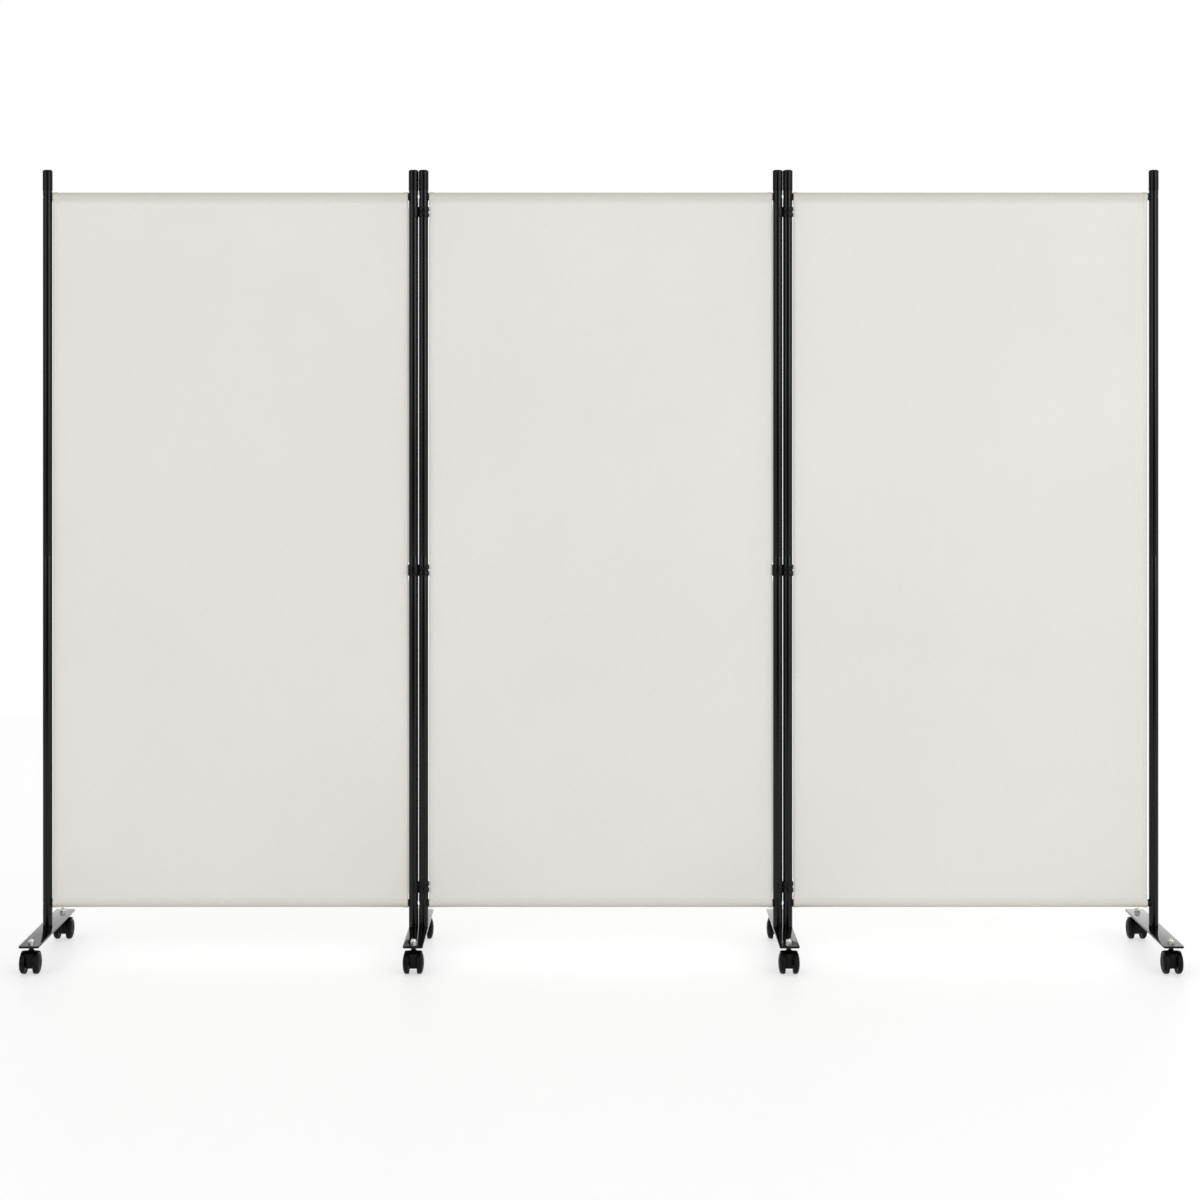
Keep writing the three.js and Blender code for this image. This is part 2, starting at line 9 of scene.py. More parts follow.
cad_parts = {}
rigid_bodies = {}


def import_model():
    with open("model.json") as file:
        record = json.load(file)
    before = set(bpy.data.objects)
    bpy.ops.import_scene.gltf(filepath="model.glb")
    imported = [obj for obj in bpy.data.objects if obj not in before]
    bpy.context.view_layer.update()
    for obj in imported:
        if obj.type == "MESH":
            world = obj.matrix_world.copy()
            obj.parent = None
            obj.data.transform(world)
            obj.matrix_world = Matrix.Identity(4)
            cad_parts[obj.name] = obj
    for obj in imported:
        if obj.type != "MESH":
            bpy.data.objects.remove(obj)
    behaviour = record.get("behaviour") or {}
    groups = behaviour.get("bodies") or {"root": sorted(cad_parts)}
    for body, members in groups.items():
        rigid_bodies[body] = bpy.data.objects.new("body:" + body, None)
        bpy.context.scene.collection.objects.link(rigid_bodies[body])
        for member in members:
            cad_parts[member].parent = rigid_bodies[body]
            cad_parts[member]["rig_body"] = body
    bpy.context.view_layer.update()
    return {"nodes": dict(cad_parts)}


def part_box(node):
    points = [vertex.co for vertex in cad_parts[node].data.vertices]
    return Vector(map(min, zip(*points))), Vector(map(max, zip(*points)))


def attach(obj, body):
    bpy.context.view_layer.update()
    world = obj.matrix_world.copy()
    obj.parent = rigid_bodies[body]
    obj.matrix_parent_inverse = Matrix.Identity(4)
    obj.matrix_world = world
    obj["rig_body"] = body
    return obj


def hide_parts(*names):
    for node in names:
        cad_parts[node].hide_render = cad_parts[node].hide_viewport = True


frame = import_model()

# What stands where: each panel's left and right post, and the posts on each foot
PANEL_POSTS = {
    "left": ("left_outer_post", "left_inner_post"),
    "middle": ("middle_left_post", "middle_right_post"),
    "right": ("right_inner_post", "right_outer_post"),
}
FOOT_POSTS = {
    "left_outer": {"": "left_outer_post"},
    "left_pair": {"left_": "left_inner_post", "right_": "middle_left_post"},
    "right_pair": {"left_": "middle_right_post", "right_": "right_inner_post"},
    "right_outer": {"": "right_outer_post"},
}
PAIRS = ("left_pair", "right_pair")

# Fineness of round shapes
ROUND_SIDES = 96
SMALL_ROUND_SIDES = 32
CORNER_STEPS = 5
SHARP_DEGREES = 32
HEXAGON_DEGREES = (90, 390)
HEXAGON_STEPS = 5
TINY = 1e-7
SAME_PLACE = 1e-6

# Room between pieces, and how far a cutting shape goes past what it cuts
CLEARANCE = 0.0003
CLOSE_FIT = 0.0001
OVERRUN = 0.001

# Posts: the coat makes them this much thicker than the solids
POST_WALL = 0.0008
POST_COAT = 0.0002
TUBE_EDGE_RADIUS = 0.0002
JOINT_GAP = 0.0001
BOLT_HOLE_RADIUS = 0.0033
ACCESS_HOLE_RADIUS = 0.0055

# Caps
CAP_WALL = 0.0004
CAP_ROOF = 0.003
CAP_CROWN = 0.0009
CAP_TOP_RADIUS = 0.0036
CAP_RIM_RADIUS = 0.0003

# Rails, their end plugs and their bolts
RAIL_RADIUS = 0.008
RAIL_WALL = 0.001
COLLAR_EDGE_RADIUS = 0.0004
COLLAR_REACH = 0.0016
PLUG_START = 0.004
PLUG_LENGTH = 0.015
PLUG_BORE_RADIUS = 0.00315
BOLT_RADIUS = 0.003
BOLT_HEAD_RADIUS = 0.0048
BOLT_HEAD_HEIGHT = 0.0035
BOLT_HEAD_START = 0.00463
BOLT_END = 0.018
BOLT_EDGE_RADIUS = 0.0006
HEX_KEY_FLATS = 0.004
HEX_KEY_DEPTH = 0.002

# Connectors
CONNECTOR_HALF_DEPTH = 0.007
CONNECTOR_EDGE = 0.0009
CONNECTOR_GROOVE = 0.0015
CLIP_REACH = 0.0001
LAYER_SHARES = (0, 0.03, 0.09, 0.36, 0.42, 0.45, 0.55, 0.58, 0.64, 0.91, 0.97, 1)
EDGE_SHARES = (1, 0.3, 0, 0, 0, 0, 0, 0, 0, 0, 0.3, 1)
GROOVE_SHARES = (0, 0, 0, 0, 0.35, 1, 1, 0.35, 0, 0, 0, 0)

# Feet, caster studs and nuts
BAR_THICKNESS = 0.0045
BAR_CORNER_RADIUS = 0.005
BAR_EDGE_RADIUS = 0.0004
STUB_EDGE_RADIUS = 0.001
STUD_INSET = 0.028
STUD_RADIUS = 0.004
NUT_FLATS = 0.0124
NUT_HEIGHT = 0.006
NUT_CHAMFER_RISE = 0.0007
NUT_FACE_RADIUS = 0.0061
NUT_DOME_RADIUS = 0.0057
NUT_DOME_HEIGHT = 0.0042
NUT_NECK = 0.0004
NUT_DOME_STEPS = 12

# Casters
CASTER_TRAIL = 0.007
FENDER_START_DEGREES = -12
FENDER_END_DEGREES = 125
FENDER_STEPS = 30
FENDER_CROSS_STEPS = 24
FENDER_GAP = 0.0012
FENDER_WALL = 0.0013
FENDER_CROWN = 0.0011
FENDER_LIP_THINNING = 0.00035
CROWN_POWER = 6
INNER_CROWN_SHARE = 1 / 3
WEB_HALF_WIDTH = 0.0085
WEB_LAND = 0.0113
WEB_CORNER_RADIUS = 0.0035
WEB_EDGE_RADIUS = 0.0009
NECK_DROP = 0.0005
NECK_RADIUS = 0.0051
NECK_FLANGE_RADIUS = 0.0058
NECK_FLANGE_HEIGHT = 0.0016
NECK_ROOT_RADIUS = 0.0086
NECK_ROOT_DEPTH = 0.006
NECK_FILLET = 0.0022
NECK_LIP = 0.00055
WHEEL_START = 0.0089
TREAD_END = 0.0164
WHEEL_DOME = 0.0070
TREAD_EDGE_RADIUS = 0.0016
WHEEL_HUB_RADIUS = 0.007
WHEEL_CAP_RADIUS = 0.0082
WHEEL_CAP_EDGE_RADIUS = 0.0068
WHEEL_RIM_RADIUS = 0.0198
WHEEL_GROOVE = 0.0007
WHEEL_RECESS = 0.0015
AXLE_RADIUS = 0.003
AXLE_TUCK = 0.0015
DOME_STEPS = 10

# Fabric
CLOTH_THICKNESS = 0.0008
POCKET_GAP = 0.0003
LAYER_OFFSET = CLOTH_THICKNESS + POCKET_GAP / 2
SHEET_REACH = 0.0016
SEAM_DROP = 0.014
SEAM_ALLOWANCE = 0.008
SEAM_BEND_RADIUS = 0.003
LAYER_BEND_RADIUS = 0.0008
POCKET_STEPS = 28
HEM_WIDTH = 0.010
HEM_EXTRA = 0.0009
# How far in from a side edge the cloth is painted with shade
CLOTH_EDGE_SHADE_WIDTH = 0.0025
HEM_FADE_START = 0.016
HEM_FADE_LENGTH = 0.012
COLUMN_STEP = 0.0042
ROW_STEP = 0.012
FINE_ROW_STEP = 0.003
LONGEST_STEP_SHARE = 1.5
FINE_ROWS_REACH = 0.05
HEM_COLUMNS = (0, 0.0003, 0.0009, 0.0022, 0.0030, 0.0052, 0.0074, 0.0080, 0.0086, 0.0096, 0.0104, 0.0128)
HEM_COLUMNS_END = HEM_COLUMNS[-1]
EDGE_THICKNESS_SHARES = (0.34, 0.72, 1)
SHEET_EDGE_GAPS = {"left": (0.0023, 0.0009), "middle": (0.0023, 0.0009), "right": (0.0023, 0.0045)}
POCKET_EDGE_GAP = 0.0019
CONNECTOR_EDGE_GAP = 0.0029
CONNECTOR_MARGIN = 0.0015
CONNECTOR_FADE = 0.005
FAR_AWAY = 1
POCKET_FADE = 0.016
WRINKLE_FADE = 0.09
WRINKLES = ((0.0021, 0.34, 0.62), (0.0006, 0.10, 0.21))
EDGE_WRINKLE = (0.0009, 0.17)
EDGE_WRINKLE_REACH = 0.05
PUCKER = (0.00022, 0.013)
PUCKER_REACH = 0.011
STITCH_DENT = 0.00018
STITCH_DENT_REACH = 0.00072

# Stitches
STITCH_PITCH = 0.0036
STITCH_LENGTH = 0.0029
STITCH_RADIUS = 0.00024
STITCH_SIDES = 5
STITCH_TAPER_SHARES = ((-0.5, 0.35), (-0.3, 0.95), (0, 1), (0.3, 0.95), (0.5, 0.35))
SEAM_STITCH_DROP = 0.0022
HEM_STITCH_INSET = 0.0080
HEM_STITCH_END = 0.004


# Outlines and meshes


def rounded(corners, closed, steps=CORNER_STEPS):
    """A line through (x, y, radius) corners, with an arc at each corner that has a radius."""
    points = []
    count = len(corners)
    for i, (x, y, radius) in enumerate(corners):
        corner = Vector((x, y))
        is_end = not closed and i in (0, count - 1)
        if radius <= 0 or is_end:
            points.append(corner)
            continue
        before = Vector(corners[i - 1][:2]) - corner
        after = Vector(corners[(i + 1) % count][:2]) - corner
        before.normalize()
        after.normalize()
        half = before.angle(after) / 2
        centre = corner + (before + after).normalized() * (radius / math.sin(half))
        start = corner + before * (radius / math.tan(half)) - centre
        end = corner + after * (radius / math.tan(half)) - centre
        for k in range(steps + 1):
            points.append(centre + start.slerp(end, k / steps) * radius)
    return points


def arc(radius, start_degrees, end_degrees, steps):
    """Points on a circle about zero."""
    points = []
    for k in range(steps + 1):
        angle = math.radians(start_degrees + (end_degrees - start_degrees) * k / steps)
        points.append(Vector((radius * math.cos(angle), radius * math.sin(angle))))
    return points


def inset(outline, distance):
    """A closed outline, drawn anticlockwise, moved inwards."""
    made = []
    count = len(outline)
    for i, point in enumerate(outline):
        along = (outline[(i + 1) % count] - outline[i - 1]).normalized()
        made.append(point + Vector((-along.y, along.x)) * distance)
    return made


def add_object(name, data):
    made = bpy.data.objects.new(name, data)
    bpy.context.scene.collection.objects.link(made)
    return made


def mesh_of(vertices, faces):
    mesh = bpy.data.meshes.new("shape")
    mesh.from_pydata([tuple(v) for v in vertices], [], faces)
    mesh.validate()
    return mesh


def lathe(profile, sides=ROUND_SIDES):
    """A profile of (radius, height) points turned about Z. It closes on itself unless it
    starts and ends on the axis, and it is drawn with the solid on its left."""
    vertices = []
    rings = []
    for radius, height in profile:
        if radius < TINY:
            rings.append([len(vertices)] * sides)
            vertices.append((0, 0, height))
            continue
        rings.append(list(range(len(vertices), len(vertices) + sides)))
        for k in range(sides):
            angle = math.tau * k / sides
            vertices.append((radius * math.cos(angle), radius * math.sin(angle), height))
    if profile[0][0] >= TINY:
        rings.append(rings[0])
    faces = []
    for low, high in zip(rings, rings[1:]):
        for k in range(sides):
            following = (k + 1) % sides
            corners = [low[k], low[following], high[following], high[k]]
            face = list(dict.fromkeys(corners))
            if len(face) > 2:
                faces.append(face)
    return mesh_of(vertices, faces)


def skin_faces(first, loops, count):
    """The faces of a closed skin with filled ends, over loops of count points each."""
    faces = []
    last = first + (loops - 1) * count
    for base in range(first, last, count):
        for k in range(count):
            following = (k + 1) % count
            faces.append((base + k, base + following, base + count + following, base + count + k))
    faces.append(tuple(range(first, first + count))[::-1])
    faces.append(tuple(range(last, last + count)))
    return faces


def loft(loops):
    """A closed skin through loops of as many points each."""
    vertices = [point for loop in loops for point in loop]
    return mesh_of(vertices, skin_faces(0, len(loops), len(loops[0])))


def prism(outline, bottom, top):
    return loft([[(x, y, z) for x, y in outline] for z in (bottom, top)])


def slab(outline, bottom, top, edge):
    """An anticlockwise outline in X and Y made thick along Z, with rounded edges."""
    loops = []
    for k in range(CORNER_STEPS + 1):
        angle = math.pi / 2 * k / CORNER_STEPS
        height = bottom + edge * (1 - math.sin(angle))
        loops.append((edge * (1 - math.cos(angle)), height))
    loops += [(inward, bottom + top - height) for inward, height in loops]
    loops.sort(key=lambda loop: (loop[1], -loop[0]))
    return loft([[(x, y, z) for x, y in inset(outline, inward)] for inward, z in loops])


def rod(radius, bottom, top, sides=ROUND_SIDES, top_edge=0):
    corners = [(0, bottom, 0), (radius, bottom, 0), (radius, top, top_edge), (0, top, 0)]
    return lathe(rounded(corners, closed=False), sides)


def tube(inner, outer, bottom, top, edge=0):
    corners = [(inner, bottom, 0), (outer, bottom, edge), (outer, top, edge), (inner, top, 0)]
    return lathe(rounded(corners, closed=True))


def hexagon_rod(flats, bottom, top):
    """A six-sided rod with corners towards the front and the rear."""
    return prism(arc(flats / math.sqrt(3), *HEXAGON_DEGREES, HEXAGON_STEPS), bottom, top)


TURN_Z_TO_X = Matrix.Rotation(math.pi / 2, 4, "Y")


def along_x(mesh):
    """The mesh with its Z axis turned to X."""
    mesh.transform(TURN_Z_TO_X)
    return mesh


def cross_rod(radius, start, end):
    """A small rod along X."""
    return along_x(rod(radius, start, end, SMALL_ROUND_SIDES))


def moved(mesh, x=0, y=0, z=0):
    mesh.transform(Matrix.Translation((x, y, z)))
    return mesh


def combined(base, other, operation):
    """The base mesh joined with the other one, cut by it, or kept where both are."""
    holders = [add_object("holder", mesh) for mesh in (base, other)]
    modifier = holders[0].modifiers.new("combine", "BOOLEAN")
    modifier.operation = operation
    modifier.solver = "EXACT"
    modifier.object = holders[1]
    graph = bpy.context.evaluated_depsgraph_get()
    result = bpy.data.meshes.new_from_object(holders[0].evaluated_get(graph))
    for holder in holders:
        bpy.data.objects.remove(holder)
    return result


def join(base, other):
    return combined(base, other, "UNION")


def cut(base, other):
    return combined(base, other, "DIFFERENCE")


# Pieces


def node_box(name):
    """A node's middle, size, lowest and highest corner."""
    low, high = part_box(name)
    return (low + high) / 2, high - low, low, high


def post_x(name):
    return node_box(name + "_lower_tube")[0].x


def body_of_node(name):
    return frame["nodes"][name]["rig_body"]


def place_piece(name, mesh, finish, body, at=(0, 0, 0), is_turned=False, replaces=()):
    """A shown piece, on a body, with its finish and the CAD nodes that it stands for."""
    material, slot = FINISHES[finish]
    own = mesh.copy()
    own.materials.clear()
    own.materials.append(material)
    own.polygons.foreach_set("use_smooth", [True] * len(own.polygons))
    own.set_sharp_from_angle(angle=math.radians(SHARP_DEGREES))
    own.name = name
    piece = add_object(name, own)
    piece.location = at
    piece.rotation_euler.z = math.pi if is_turned else 0
    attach(piece, body)
    if replaces:
        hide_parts(*replaces)
    return piece


# Posts and caps


def post_tube(bottom, top, radius, bolt_height):
    """A tube with the bolt's hole towards +X and the wider hole for its head across."""
    post = tube(radius - POST_WALL, radius, bottom, top, TUBE_EDGE_RADIUS)
    reach = radius + OVERRUN
    bolt_hole = moved(cross_rod(BOLT_HOLE_RADIUS, 0, reach), z=bolt_height)
    access_hole = moved(cross_rod(ACCESS_HOLE_RADIUS, -reach, 0), z=bolt_height)
    return cut(cut(post, bolt_hole), access_hole)


def cap(bottom, top, radius):
    inner = radius - CAP_WALL
    ceiling = top - CAP_ROOF
    profile = rounded(
        [
            (0, ceiling, 0),
            (inner, ceiling, 0),
            (inner, bottom, 0),
            (radius, bottom, CAP_RIM_RADIUS),
            (radius, top - CAP_CROWN, CAP_TOP_RADIUS),
            (0, top, 0),
        ],
        closed=False,
    )
    return lathe(profile[::-1])


def build_posts():
    sample = PANEL_POSTS["middle"][0]
    _, tube_size, lower_low, lower_high = node_box(sample + "_lower_tube")
    _, _, upper_low, upper_high = node_box(sample + "_upper_tube")
    _, cap_size, cap_low, cap_high = node_box(sample + "_cap")
    bottom_rail_z = node_box("middle_bottom_rail")[0].z
    top_rail_z = node_box("middle_top_rail")[0].z
    radius = tube_size.y / 2 + POST_COAT
    joint_z = (lower_high.z + upper_low.z) / 2
    lower = post_tube(lower_low.z, joint_z - JOINT_GAP / 2, radius, bottom_rail_z)
    upper = post_tube(joint_z + JOINT_GAP / 2, upper_high.z, radius, top_rail_z)
    cap_mesh = cap(cap_low.z, cap_high.z, cap_size.y / 2)
    for panel, posts in PANEL_POSTS.items():
        for post, is_turned in zip(posts, (False, True)):
            body = body_of_node(post + "_cap")
            at = (post_x(post), 0, 0)
            for part, mesh, finish in (
                ("lower_tube", lower, "post"),
                ("upper_tube", upper, "post"),
                ("cap", cap_mesh, "cap"),
            ):
                name = post + "_" + part
                place_piece(name + "_finished", mesh, finish, body, at, is_turned, [name])


# Rails


def end_plug(collar_radius, post_radius):
    """A plug about the post's axis, for a rail that leaves towards +X: its collar is
    hollowed to fit the post, and the rest goes into the rail."""
    inner = RAIL_RADIUS - RAIL_WALL
    collar_end = post_radius + COLLAR_REACH
    plug_end = post_radius + PLUG_LENGTH
    profile = rounded(
        [
            (PLUG_BORE_RADIUS, PLUG_START, 0),
            (collar_radius, PLUG_START, 0),
            (collar_radius, collar_end, COLLAR_EDGE_RADIUS),
            (inner, collar_end, 0),
            (inner, plug_end, 0),
            (PLUG_BORE_RADIUS, plug_end, 0),
        ],
        closed=True,
    )
    reach = collar_radius + OVERRUN
    saddle = rod(post_radius + POST_COAT + CLOSE_FIT, -reach, reach)
    return cut(along_x(lathe(profile)), saddle)


def socket_bolt():
    """A bolt about the post's axis, whose shank points to +X and whose head is open to -X."""
    profile = rounded(
        [
            (0, BOLT_HEAD_START, 0),
            (BOLT_HEAD_RADIUS, BOLT_HEAD_START, BOLT_EDGE_RADIUS),
            (BOLT_HEAD_RADIUS, BOLT_HEAD_START + BOLT_HEAD_HEIGHT, 0),
            (BOLT_RADIUS, BOLT_HEAD_START + BOLT_HEAD_HEIGHT, 0),
            (BOLT_RADIUS, BOLT_END, BOLT_EDGE_RADIUS),
            (0, BOLT_END, 0),
        ],
        closed=False,
    )
    key_start = BOLT_HEAD_START - OVERRUN
    key_end = BOLT_HEAD_START + HEX_KEY_DEPTH
    key_hole = along_x(hexagon_rod(HEX_KEY_FLATS, key_start, key_end))
    return cut(along_x(lathe(profile, SMALL_ROUND_SIDES)), key_hole)


def build_rails():
    post_radius = node_box("middle_left_post_lower_tube")[1].y / 2
    collar_radius = node_box("middle_top_rail")[1].z / 2
    plug_mesh = end_plug(collar_radius, post_radius)
    bolt_mesh = socket_bolt()
    for panel, posts in PANEL_POSTS.items():
        left_x, right_x = (post_x(post) for post in posts)
        half = (right_x - left_x) / 2 - post_radius - COLLAR_REACH
        tube_mesh = along_x(tube(RAIL_RADIUS - RAIL_WALL, RAIL_RADIUS, -half, half))
        for level in ("top", "bottom"):
            rail = panel + "_" + level + "_rail"
            body = body_of_node(rail)
            height = node_box(rail)[0].z
            middle = ((left_x + right_x) / 2, 0, height)
            place_piece(rail + "_tube", tube_mesh, "rail", body, middle, False, [rail])
            for side, x, is_turned in (("left", left_x, False), ("right", right_x, True)):
                at = (x, 0, height)
                place_piece(f"{rail}_{side}_plug", plug_mesh, "plug", body, at, is_turned)
                place_piece(f"{rail}_{side}_bolt", bolt_mesh, "hardware", body, at, is_turned)


# Connectors


def connector_loop(half_spacing, left_radius, right_radius, half_depth, height):
    """The outline of two rings and the bridge between them, at one height."""
    loop = []
    for side, radius in ((1, right_radius), (-1, left_radius)):
        opening = math.degrees(math.pi - math.asin(half_depth / radius))
        for point in arc(radius, -opening, opening, ROUND_SIDES // 2):
            loop.append((side * (half_spacing + point.x), side * point.y, height))
    return loop


def connector(size, half_spacing, bore_radius, is_open):
    """A connector about its own middle. The right ring has a groove round it; an open one
    has a clip in place of its left ring."""
    radius = size.y / 2
    loops = []
    for share, edge, groove in zip(LAYER_SHARES, EDGE_SHARES, GROOVE_SHARES):
        height = (share - 1 / 2) * size.z
        inward = edge * CONNECTOR_EDGE
        right_radius = radius - inward - groove * CONNECTOR_GROOVE
        half_depth = CONNECTOR_HALF_DEPTH - inward
        loops.append(connector_loop(half_spacing, radius - inward, right_radius, half_depth, height))
    solid = loft(loops)
    reach = size.z / 2 + OVERRUN
    if is_open:
        mouth_end = -half_spacing - CLIP_REACH
        side = radius + OVERRUN
        far_end = mouth_end - side
        mouth = [(far_end, -side), (mouth_end, -side), (mouth_end, side), (far_end, side)]
        solid = cut(solid, prism(mouth, -reach, reach))
        middle_radius = (radius + bore_radius) / 2
        lip_y = math.sqrt(middle_radius ** 2 - CLIP_REACH ** 2)
        lip_top = (size.z - CONNECTOR_EDGE) / 2
        for y in (-lip_y, lip_y):
            lip = rod((radius - bore_radius) / 2, -lip_top, lip_top, SMALL_ROUND_SIDES)
            solid = join(solid, moved(lip, x=mouth_end, y=y))
    for x in (-half_spacing, half_spacing):
        solid = cut(solid, moved(rod(bore_radius, -reach, reach), x=x))
    return solid


def build_connectors():
    half_spacing = (post_x("middle_left_post") - post_x("left_inner_post")) / 2
    bore_radius = node_box("middle_left_post_lower_tube")[1].y / 2 + POST_COAT + CLOSE_FIT
    for pair in PAIRS:
        middle = node_box(pair + "_middle_connector")[0]
        for level in ("top", "middle", "bottom"):
            node = pair + "_" + level + "_connector"
            own_middle, size, _, _ = node_box(node)
            mesh = connector(size, half_spacing, bore_radius, level != "middle")
            at = (middle.x, 0, own_middle.z)
            place_piece(node + "_finished", mesh, "connector", body_of_node(node), at, False, [node])


# Feet


def foot_bar(size, bottom):
    x, y, radius = size.x / 2, size.y / 2, BAR_CORNER_RADIUS
    corners = [(x, -y, radius), (x, y, radius), (-x, y, radius), (-x, -y, radius)]
    outline = rounded(corners, closed=True)
    return slab(outline, bottom, bottom + BAR_THICKNESS, BAR_EDGE_RADIUS)


def cap_nut(bottom):
    """A cap nut: six flats with turned corners, and a dome over the stud's end."""
    top = bottom + NUT_HEIGHT
    corner_radius = NUT_FLATS / math.sqrt(3)
    turned = lathe(
        [
            (0, bottom),
            (NUT_FACE_RADIUS, bottom),
            (corner_radius, bottom + NUT_CHAMFER_RISE),
            (corner_radius, top - NUT_CHAMFER_RISE),
            (NUT_FACE_RADIUS, top),
            (0, top),
        ]
    )
    hexagon = hexagon_rod(NUT_FLATS, bottom - OVERRUN, top + OVERRUN)
    flats = combined(hexagon, turned, "INTERSECT")
    profile = [(0, bottom + OVERRUN), (NUT_DOME_RADIUS - NUT_NECK, bottom + OVERRUN)]
    profile.append((NUT_DOME_RADIUS - NUT_NECK, top + NUT_NECK))
    for point in arc(1, 0, 90, NUT_DOME_STEPS):
        rise = NUT_NECK + point.y * (NUT_DOME_HEIGHT - NUT_NECK)
        profile.append((point.x * NUT_DOME_RADIUS, top + rise))
    return join(flats, lathe(profile))


def build_feet():
    _, _, tube_low, tube_high = node_box("left_outer_post_lower_tube")
    post_radius = (tube_high.y - tube_low.y) / 2
    bar_top = tube_low.z - CLEARANCE
    bar_bottom = bar_top - BAR_THICKNESS
    stub_radius = post_radius - POST_WALL - CLEARANCE
    nut_mesh = cap_nut(bar_top)
    for foot in FOOT_POSTS:
        node = foot + "_foot"
        body = body_of_node(node)
        middle, size, low, high = node_box(node)
        at = (middle.x, 0, 0)
        bar = foot_bar(size, bar_bottom)
        place_piece(node + "_bar", bar, "foot", body, at, False, [node])
        stub_mesh = rod(stub_radius, bar_top, high.z, SMALL_ROUND_SIDES, STUB_EDGE_RADIUS)
        for side, post in FOOT_POSTS[foot].items():
            place_piece(f"{node}_{side}stub", stub_mesh, "foot", body, (post_x(post), 0, 0))
        stud_mesh = rod(STUD_RADIUS, low.z, bar_top, SMALL_ROUND_SIDES)
        for end, y in (("front", low.y + STUD_INSET), ("rear", high.y - STUD_INSET)):
            place_piece(f"{foot}_{end}_caster_nut", nut_mesh, "hardware", body, (middle.x, y, 0))
            place_piece(f"{foot}_{end}_caster_stud", stud_mesh, "hardware", body, (middle.x, y, 0))


# Casters


def fender(wheel_radius, half_width):
    """The crowned cover over both wheels, about the axle, with the stud towards +Y."""
    bore = wheel_radius + FENDER_GAP
    rings = []
    for k in range(FENDER_STEPS + 1):
        share = k / FENDER_STEPS
        angle = math.radians(FENDER_START_DEGREES + share * (FENDER_END_DEGREES - FENDER_START_DEGREES))
        thinning = FENDER_LIP_THINNING if k in (0, FENDER_STEPS) else 0
        section = []
        for wall, step in ((FENDER_WALL, 1), (0, -1)):
            for i in range(FENDER_CROSS_STEPS + 1)[::step]:
                across = 2 * i / FENDER_CROSS_STEPS - 1
                crown = FENDER_CROWN * abs(across) ** CROWN_POWER
                lip = thinning if wall else -thinning
                radius = bore + wall - lip - crown * (1 if wall else INNER_CROWN_SHARE)
                section.append((across * half_width, radius * math.cos(angle), radius * math.sin(angle)))
        rings.append(section)
    return loft(rings[::-1])


def hood_web(wheel_radius):
    """The body between the wheels, about the axle, with rounded edges."""
    radius = wheel_radius + FENDER_GAP + FENDER_WALL / 2
    over_top = arc(radius, FENDER_START_DEGREES, FENDER_END_DEGREES, FENDER_STEPS)
    corners = [(y, z, 0) for y, z in over_top]
    corners += [(y, -WEB_LAND, WEB_CORNER_RADIUS) for y in (-WEB_LAND, WEB_LAND)]
    mesh = slab(rounded(corners, closed=True), -WEB_HALF_WIDTH, WEB_HALF_WIDTH, WEB_EDGE_RADIUS)
    drawn_to_world = Matrix(((0, 0, 1, 0), (1, 0, 0, 0), (0, 1, 0, 0), (0, 0, 0, 1)))
    mesh.transform(drawn_to_world)
    hole_reach = WEB_HALF_WIDTH + OVERRUN
    return cut(mesh, cross_rod(AXLE_RADIUS + CLEARANCE, -hole_reach, hole_reach))


def hood_neck(wheel_radius, neck_top):
    """The swivel neck, about the axle's height, with a flange under the bar."""
    hood_top = wheel_radius + FENDER_GAP + FENDER_WALL
    flange_bottom = neck_top - NECK_FLANGE_HEIGHT
    profile = rounded(
        [
            (0, hood_top - NECK_ROOT_DEPTH, 0),
            (NECK_ROOT_RADIUS, hood_top - NECK_ROOT_DEPTH, 0),
            (NECK_ROOT_RADIUS, hood_top - NECK_FILLET, 0),
            (NECK_RADIUS, hood_top + NECK_FILLET / 2, NECK_FILLET / 2),
            (NECK_RADIUS, flange_bottom, NECK_LIP),
            (NECK_FLANGE_RADIUS, flange_bottom + NECK_LIP, 0),
            (NECK_FLANGE_RADIUS, neck_top, 0),
            (STUD_RADIUS + CLEARANCE, neck_top, 0),
            (STUD_RADIUS + CLEARANCE, hood_top - NECK_ROOT_DEPTH / 2, 0),
            (0, hood_top - NECK_ROOT_DEPTH / 2, 0),
        ],
        closed=False,
    )
    return moved(lathe(profile), y=CASTER_TRAIL)


